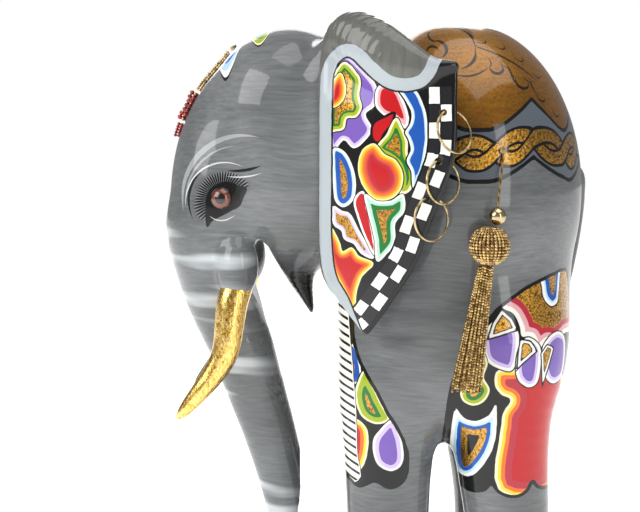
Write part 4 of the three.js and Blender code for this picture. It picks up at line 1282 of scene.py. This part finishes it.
def paintedGlassEye():
    # reverse-painted glass: orange-brown fibres round a black pupil under a clear polished dome
    material, tree, shader = newMaterial("reversePaintedGlassEye")
    off = attributeOf(tree, "gazeOff")
    turn = attributeOf(tree, "gazeTurn")
    sweep, reach = mathOf(tree, "MULTIPLY", turn, 5), mathOf(tree, "MULTIPLY", off, 0.25)
    fibre = addNode(tree, "ShaderNodeCombineXYZ", links={"X": sweep, "Y": reach}).outputs[0]
    fibres = addNode(tree, "ShaderNodeTexNoise", {"Scale": 2.2, "Detail": 3},
                     {"Vector": fibre}).outputs["Fac"]
    ring = mixOf(tree, spreadOf(tree, fibres, 0.35, 0.65), "#4A1406", "#A04A1C")
    limbus = spreadOf(tree, off, eyeSet["iris"] - 1.6, eyeSet["iris"])
    ring = mixOf(tree, limbus, ring, "#1A0904")
    pupil = mathOf(tree, "LESS_THAN", off, eyeSet["pupil"])
    tree.links.new(mixOf(tree, pupil, ring, "#050505"), shader.inputs["Base Color"])
    shader.inputs["Roughness"].default_value = 0.25
    shader.inputs["Coat Weight"].default_value = 1
    shader.inputs["Coat Roughness"].default_value = 0.01
    return material


def plainLacquer():
    # the same brushed grey and gloss varnish without ornament, and a black tuft
    material, tree, shader = newMaterial("plainGreyUnderLacquer")
    coat = startCoat(tree, (paintSet["greyDark"], paintSet["grey"], paintSet["greyLight"]), (1.7, 1.7, 20))
    height = addNode(tree, "ShaderNodeSeparateXYZ", links={"Vector": coat["place"]}).outputs["Z"]
    layOver(coat, mathOf(tree, "LESS_THAN", height, tuftSet["from"] * mm), "#1B1B1E")
    finishCoat(coat, shader)
    return material


def sawnWood():
    # turned hardwood left raw where it is glued: pale brown with a long straight grain
    material, tree, shader = newMaterial("rawTurnedHardwood")
    place = addNode(tree, "ShaderNodeTexCoord").outputs["Object"]
    grain = noiseOf(tree, place, 1.5, 4, (1, 0.08, 0.3))
    tree.links.new(mixOf(tree, spreadOf(tree, grain, 0.35, 0.65), finishSet["woodDark"], finishSet["wood"]),
                   shader.inputs["Base Color"])
    shader.inputs["Roughness"].default_value = 0.75
    bump = addNode(tree, "ShaderNodeBump", {"Strength": 0.3, "Distance": 0.0002}, {"Height": grain})
    tree.links.new(bump.outputs["Normal"], shader.inputs["Normal"])
    return material


def pressedFelt():
    # pressed wool felt: matt, fuzzy, near black
    material, tree, shader = newMaterial("pressedWoolFelt")
    place = addNode(tree, "ShaderNodeTexCoord").outputs["Object"]
    fuzz = noiseOf(tree, place, 0.5, 4)
    tree.links.new(mixOf(tree, fuzz, "#1A1B1D", finishSet["felt"]), shader.inputs["Base Color"])
    shader.inputs["Roughness"].default_value = 0.95
    shader.inputs["Sheen Weight"].default_value = 0.5
    bump = addNode(tree, "ShaderNodeBump", {"Strength": 0.8, "Distance": 0.0003}, {"Height": fuzz})
    tree.links.new(bump.outputs["Normal"], shader.inputs["Normal"])
    return material


leafMaterial, brassMaterial, ballMaterial = goldLeaf(), drawnBrass(), satinBall()
goldBeadMaterial = beadGlass("goldLinedGlassBeads", finishSet["beadDark"], finishSet["beadLight"], 0.9,
                             0.16)
redBeadMaterial = beadGlass("cutRedGlassStones", finishSet["rubyDark"], finishSet["ruby"], 0.1, 0.05)
print("materials mixed")


def addPiece(name, shape, material, node, body="root", smooth=True):
    points, faces = shape
    piece = outward(makeObject(name, np.asarray(points) * mm, faces, material, smooth))
    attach(piece, body)
    if node:
        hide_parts(node)
    return piece


# ---- tusks: tapering, curved forward, covered with gold leaf
tuskLine = [
    (35.5, -88, 238, 7), (36.5, -88.6, 230, 9.6), (38.5, -92, 218, 10), (40.5, -93.6, 205, 9.4),
    (42, -95, 193, 8.9),
    (43, -98, 183, 8.2), (44, -104, 173, 7.2), (45, -110.5, 164.5, 6.3), (45, -117.5, 156, 5.2),
    (45, -123, 149.5, 3.8), (45, -126.5, 145.5, 1.8),
]
for side, sign in (("left", 1), ("right", -1)):
    stations = [(sign * x, y, z, r, r) for x, y, z, r in tuskLine]
    addPiece(f"tusk.{side}", loftMesh(stations, 40, 6), leafMaterial, f"tusk_{side}")

# ---- tail: a round cord of wood that ends in a carved tuft
tailLine = [                      # y, z, half width, half depth
    (120, 304, 4, 4), (131.2, 299, 5, 4.6), (133.4, 284, 4.6, 3.8), (131.6, 262, 4.2, 3.6),
    (128, 240, 4, 3.6),
    (123.5, 218, 4.4, 3.8), (120.5, 200, 7, 4.4), (118.5, 184, 6.4, 4), (117.5, 172, 1.6, 1.4),
]
tuftSet = {"from": 208, "locks": 9, "groove": 0.14, "sides": 54}
tailPoints, tailFaces = loftMesh([(0, *station) for station in tailLine], tuftSet["sides"], 8)
rings = (len(tailPoints) - 2) // tuftSet["sides"]
ringPoints = tailPoints[:-2].reshape(rings, tuftSet["sides"], 3)
ringMiddle = ringPoints.mean(1, keepdims=True)
turns = np.arange(tuftSet["sides"]) * 2 * math.pi / tuftSet["sides"]
inTuft = np.clip((tuftSet["from"] - ringMiddle[:, :, 2]) / 10, 0, 1)
groove = 1 - tuftSet["groove"] * inTuft * (0.5 - 0.5 * np.cos(tuftSet["locks"] * turns))[None]
ringPoints[:] = ringMiddle + (ringPoints - ringMiddle) * groove[:, :, None]
plainMaterial = plainLacquer()
addPiece("tailCord", (tailPoints, tailFaces), plainMaterial, "tail")

# ---- eyes
eyeMaterial = paintedGlassEye()
for side, sign in (("left", 1), ("right", -1)):
    middle = boxMiddle(f"eye_{side}")
    probe = np.array([middle + np.array([sign * 6, 0, 0])])
    gaze = np.array([(bodyField(probe + axis) - bodyField(probe - axis))[0] for axis in np.eye(3)])
    gaze /= np.linalg.norm(gaze)
    points, faces = beadShape(5)
    along = points @ gaze
    up = np.array([0, 0, 1.0]) - gaze * gaze[2]
    flat = points - along[:, None] * gaze
    off = np.where(along > 0, np.linalg.norm(flat, axis=1), 1) * eyeSet["radius"]
    eye = addPiece(f"eye.{side}", (points * eyeSet["radius"] + middle, faces), eyeMaterial, f"eye_{side}")
    writeLayer(eye, "gazeOff", off)
    writeLayer(eye, "gazeTurn", np.abs(np.arctan2(flat @ np.cross(gaze, up), flat @ up)))
print("tusks, tail and eyes")

# ---- hoops: each plain ring lies where its frame ring lies
hoopMake = {"around": 72, "section": 12}
for side in ("left", "right"):
    for number in (1, 2, 3):
        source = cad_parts[f"ear_hoop_{side}_{number}"].data.vertices
        cloud = np.array([v.co for v in source]) / mm
        middle = cloud.mean(0)
        _, _, axes = np.linalg.svd(cloud - middle, full_matrices=False)
        turns = np.linspace(0, 2 * math.pi, hoopMake["around"], endpoint=False)
        section = np.linspace(0, 2 * math.pi, hoopMake["section"], endpoint=False)
        points, faces = [], []
        for i, turn in enumerate(turns):
            arm = axes[0] * math.cos(turn) + axes[1] * math.sin(turn)
            for k, angle in enumerate(section):
                points.append(middle + arm * (hoopSet["radius"] + hoopSet["wire"] * math.cos(angle))
                              + axes[2] * hoopSet["wire"] * math.sin(angle))
                nextI, nextK = (i + 1) % len(turns), (k + 1) % len(section)
                faces.append((i * len(section) + k, nextI * len(section) + k, nextI * len(section) + nextK,
                              i * len(section) + nextK))
        addPiece(f"hoop.{side}.{number}", (points, faces), brassMaterial, f"ear_hoop_{side}_{number}",
                 f"hoop_{side}_{number}")

# ---- tassels: plated ball, bead-covered knob, ropes of seed beads
tasselSet = {
    "bead": 1.0, "columns": 30, "rows": 14, "headRadius": 12.4, "headHalf": 11.25, "headTurn": 1.15,
    "small": 0.85, "lean": 11.5,
    "strings": ((19, 1), (13, 0.66), (6, 0.3)),    # strings in each ring, and its share of the width
    "skirt": ((0, 5), (0.15, 5.6), (0.5, 7.2), (0.85, 8.8), (1, 8.6)),    # half width down its length
}
beadPattern = beadShape(2)


def addBeads(name, places, radius, material, node, body):
    count = len(places)
    sizes = [np.array([radius * random.uniform(0.93, 1.04)] * 3) for _ in range(count)]
    piece = addPiece(name, strewBeads(places, sizes, beadPattern), material, node, body, smooth=False)
    tones = np.repeat([random.random() for _ in range(count)], len(beadPattern[0]))
    writeLayer(piece, "tone", tones)
    return piece


for side, sign in (("left", 1), ("right", -1)):
    body = f"tassel_{side}"
    ballMiddle, headMiddle = boxMiddle(f"tassel_ball_{side}"), boxMiddle(f"tassel_head_{side}")
    points, faces = beadShape(4)
    low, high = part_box(f"tassel_ball_{side}")
    ballRadius = (high[2] - low[2]) / 2 / mm
    addPiece(f"tasselBall.{side}", (points * ballRadius + ballMiddle, faces), ballMaterial,
             f"tassel_ball_{side}",
             body)
    bead, reach, half = tasselSet["bead"], tasselSet["headRadius"], tasselSet["headHalf"]
    lift = half / math.sin(tasselSet["headTurn"])
    profile = [(0, -half + 0.6)]
    for k in range(-8, 9):
        turn = tasselSet["headTurn"] * k / 8
        profile.append(((reach - 1.5) * math.cos(turn), (lift - 1.5) * math.sin(turn)))
    profile.append((0, half - 0.6))
    points, faces = latheMesh(profile, 32)
    core = addPiece(f"tasselKnob.{side}", (points + headMiddle, faces), goldBeadMaterial, None, body)
    writeLayer(core, "tone", np.zeros(len(points)))
    places = []
    for column in range(tasselSet["columns"]):
        around = 2 * math.pi * column / tasselSet["columns"]
        for row in range(tasselSet["rows"]):
            turn = tasselSet["headTurn"] * (2 * (row + 0.5) / tasselSet["rows"] - 1)
            wide = (reach - bead) * math.cos(turn)
            places.append(headMiddle + np.array([wide * math.cos(around), wide * math.sin(around),
                                                 (lift - bead) * math.sin(turn)]))
    addBeads(f"tasselHead.{side}", places, bead, goldBeadMaterial, f"tassel_head_{side}", body)
    low, high = (np.array(corner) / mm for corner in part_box(f"tassel_strings_{side}"))
    top, bottom = high[2], low[2]
    places = []
    step = tasselSet["small"] * 1.9
    for count, share in tasselSet["strings"]:
        for k in range(count):
            around = 2 * math.pi * (k + 0.5 * share) / count
            run = (top - bottom - 2) * random.uniform(0.94, 1)
            sway = random.uniform(-0.6, 0.6)
            start = random.uniform(0, step)
            for number in range(int(run / step)):
                u = (start + number * step) / (top - bottom + step)
                wide = (np.interp(u, *zip(*tasselSet["skirt"])) - tasselSet["small"]) * share
                places.append(np.array([
                    headMiddle[0] + sign * (wide * math.cos(around) - u),
                    headMiddle[1] - 2 - tasselSet["lean"] * u + wide * math.sin(around) + sway * u,
                    top - tasselSet["small"] - u * (top - bottom)]))
    addBeads(f"tasselStrings.{side}", places, tasselSet["small"], goldBeadMaterial,
             f"tassel_strings_{side}", body)
print("hoops and tassels")

# ---- forehead jewellery down the middle of the brow
browSet = {
    "skull": (0, -62, 312), "chain": (62.5, 37), "stones": (35.4, 18.5), "drop": (16.8, 9),     # degrees
    "goldBead": 1.0, "stone": 1.7, "small": 1.15, "reach": 78,
}


def browPlace(degrees, across, off):
    # a point over the forehead: degrees above straight ahead, mm to the side and off the wood
    turn = math.radians(degrees)
    way = np.array([0, -math.cos(turn), math.sin(turn)])
    start = np.array([across, *browSet["skull"][1:]])
    reaches = np.arange(30, 110, 0.25)
    values = bodyField(start + reaches[:, None] * way)
    return start + way * (np.interp(0, values, reaches) + off)


def browBeads(span, widths, spacing, radius, off, keep=None):
    places = []
    arc = math.radians(span[0] - span[1]) * browSet["reach"]
    rows = max(int(arc / spacing), 2)
    for row in range(rows):
        u = (row + 0.5) / rows
        half = np.interp(u, np.linspace(0, 1, len(widths)), widths)
        columns = max(int(2 * half / spacing + 0.5), 1)
        for column in range(columns):
            across = 0.0 if columns == 1 else -half + 2 * half * column / (columns - 1)
            if keep and not keep(row, column):
                continue
            crown = 1 - (across / (half + radius)) ** 2
            places.append(browPlace(span[0] + (span[1] - span[0]) * u, across, radius * 0.7 + off * crown))
    return places


gold, stone, small = browSet["goldBead"], browSet["stone"], browSet["small"]
chain = browBeads(browSet["chain"], (1.6, 2.1, 2.2, 2.1), 1.9 * gold, gold, 0.2)
chain += browBeads(browSet["chain"], (0.8, 1.2, 1.3, 1.2), 1.9 * gold, gold, 1.7)
addBeads("foreheadChain", chain, gold, goldBeadMaterial, "forehead_chain", "root")
stones = browBeads(browSet["stones"], (1.8, 4.4, 4.8, 4.2, 1.8), 1.8 * stone, stone, 0.3)
stones += browBeads(browSet["stones"], (0.9, 2.4, 2.8, 2.4, 0.9), 1.8 * stone, stone, 3)
addBeads("foreheadStones", stones, stone, redBeadMaterial, "forehead_stones", "root")
settings = browBeads(browSet["stones"], (3.2, 5, 5.6, 5, 3.2), 1.5 * stone, 0.8, 3.6,
                     lambda row, column: (row + column) % 2 == 0)
addBeads("foreheadSettings", settings, 0.8, goldBeadMaterial, None, "root")
drop = browBeads(browSet["drop"], (1.4, 2.4, 2.2, 0.6), 1.8 * small, small, 0.2)
drop += browBeads(browSet["drop"], (0.6, 1.4, 1.2, 0.2), 1.8 * small, small, 2.4)
addBeads("foreheadDrop", drop, small, redBeadMaterial, "forehead_drop", "root")
print("forehead jewellery")

# ---- felt pads under the feet
padSet = {"radius": 20, "round": 0.3, "sides": 56}
feltMaterial = pressedFelt()
for end in ("front", "rear"):
    for side in ("left", "right"):
        low, high = (np.array(corner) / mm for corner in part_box(f"felt_pad_{end}_{side}"))
        thick, radius, soft = high[2] - low[2], padSet["radius"], padSet["round"]
        profile = [(0, 0), (radius - soft, 0), (radius, soft), (radius, thick - soft),
                   (radius - soft, thick),
                   (0, thick)]
        points, faces = latheMesh(profile, padSet["sides"])
        place = np.array([(low[0] + high[0]) / 2, (low[1] + high[1]) / 2, low[2]])
        addPiece(f"feltPad.{end}.{side}", (points + place, faces), feltMaterial, f"felt_pad_{end}_{side}")

# ---- pins, pegs and dowels keep their frame shapes
woodMaterial = sawnWood()
for name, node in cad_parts.items():
    finish = woodMaterial if "dowel" in name or "peg" in name else brassMaterial if "pin" in name else None
    if finish:
        for kept in node.material_slots:
            kept.material = finish
print("pads, pins and dowels")

# ---- floor and light
bpy.context.scene.view_settings.view_transform = "Standard"       # plain colours, as a catalogue has them
stageSet = {
    "floor": "#F4F4F2", "glow": 0.78, "sweep": 1.0, "room": 0.27,
    "lamps": (                    # place in m, width and height in m, watts
        ((0.9, -1.5, 1.3), 1.3, 1.3, 25), ((1.5, 1.0, 0.7), 0.35, 1.3, 6), ((0.3, 0.3, 1.9), 1.4, 1.4, 14),
        ((-1.5, -0.2, 1.0), 1.2, 1.2, 14),
    ),
}


def paintedFloor():
    # matt white studio floor with a little glow of its own, so that it stays pale out to the horizon
    material, tree, shader = newMaterial("mattPaintedFloor")
    place = addNode(tree, "ShaderNodeTexCoord").outputs["Object"]
    mottle = noiseOf(tree, place, 400, 2)
    tree.links.new(mixOf(tree, mottle, "#F1F1EF", stageSet["floor"]), shader.inputs["Base Color"])
    shader.inputs["Roughness"].default_value = 0.9
    shader.inputs["Emission Color"].default_value = (1, 1, 1, 1)
    shader.inputs["Emission Strength"].default_value = stageSet["glow"]
    return material


floor = makeObject("floor", [(-8, -8, 0), (8, -8, 0), (8, 8, 0), (-8, 8, 0)], [(0, 1, 2, 3)],
                   paintedFloor(), False)
world = bpy.data.worlds.new("studio")
world.use_nodes = True
backdrop = world.node_tree.nodes["Background"]      # a white sweep behind, a dimmer room for the light
backdrop.inputs["Color"].default_value = (1, 1, 1, 1)
seen = addNode(world.node_tree, "ShaderNodeLightPath").outputs["Is Camera Ray"]
level = mathOf(world.node_tree, "MULTIPLY_ADD", seen, stageSet["sweep"] - stageSet["room"],
               stageSet["room"])
world.node_tree.links.new(level, backdrop.inputs["Strength"])
bpy.context.scene.world = world
for at, wide, tall, power in stageSet["lamps"]:
    lampData = bpy.data.lights.new("softbox", "AREA")
    lampData.shape = "RECTANGLE"
    lampData.size, lampData.size_y = wide, tall
    lampData.energy = power
    lamp = bpy.data.objects.new("softbox", lampData)
    lamp.location = at
    lamp.rotation_euler = (Vector((0, 0, 0.25)) - Vector(at)).to_track_quat("-Z", "Y").to_euler()
    bpy.context.collection.objects.link(lamp)
print("floor and lights")
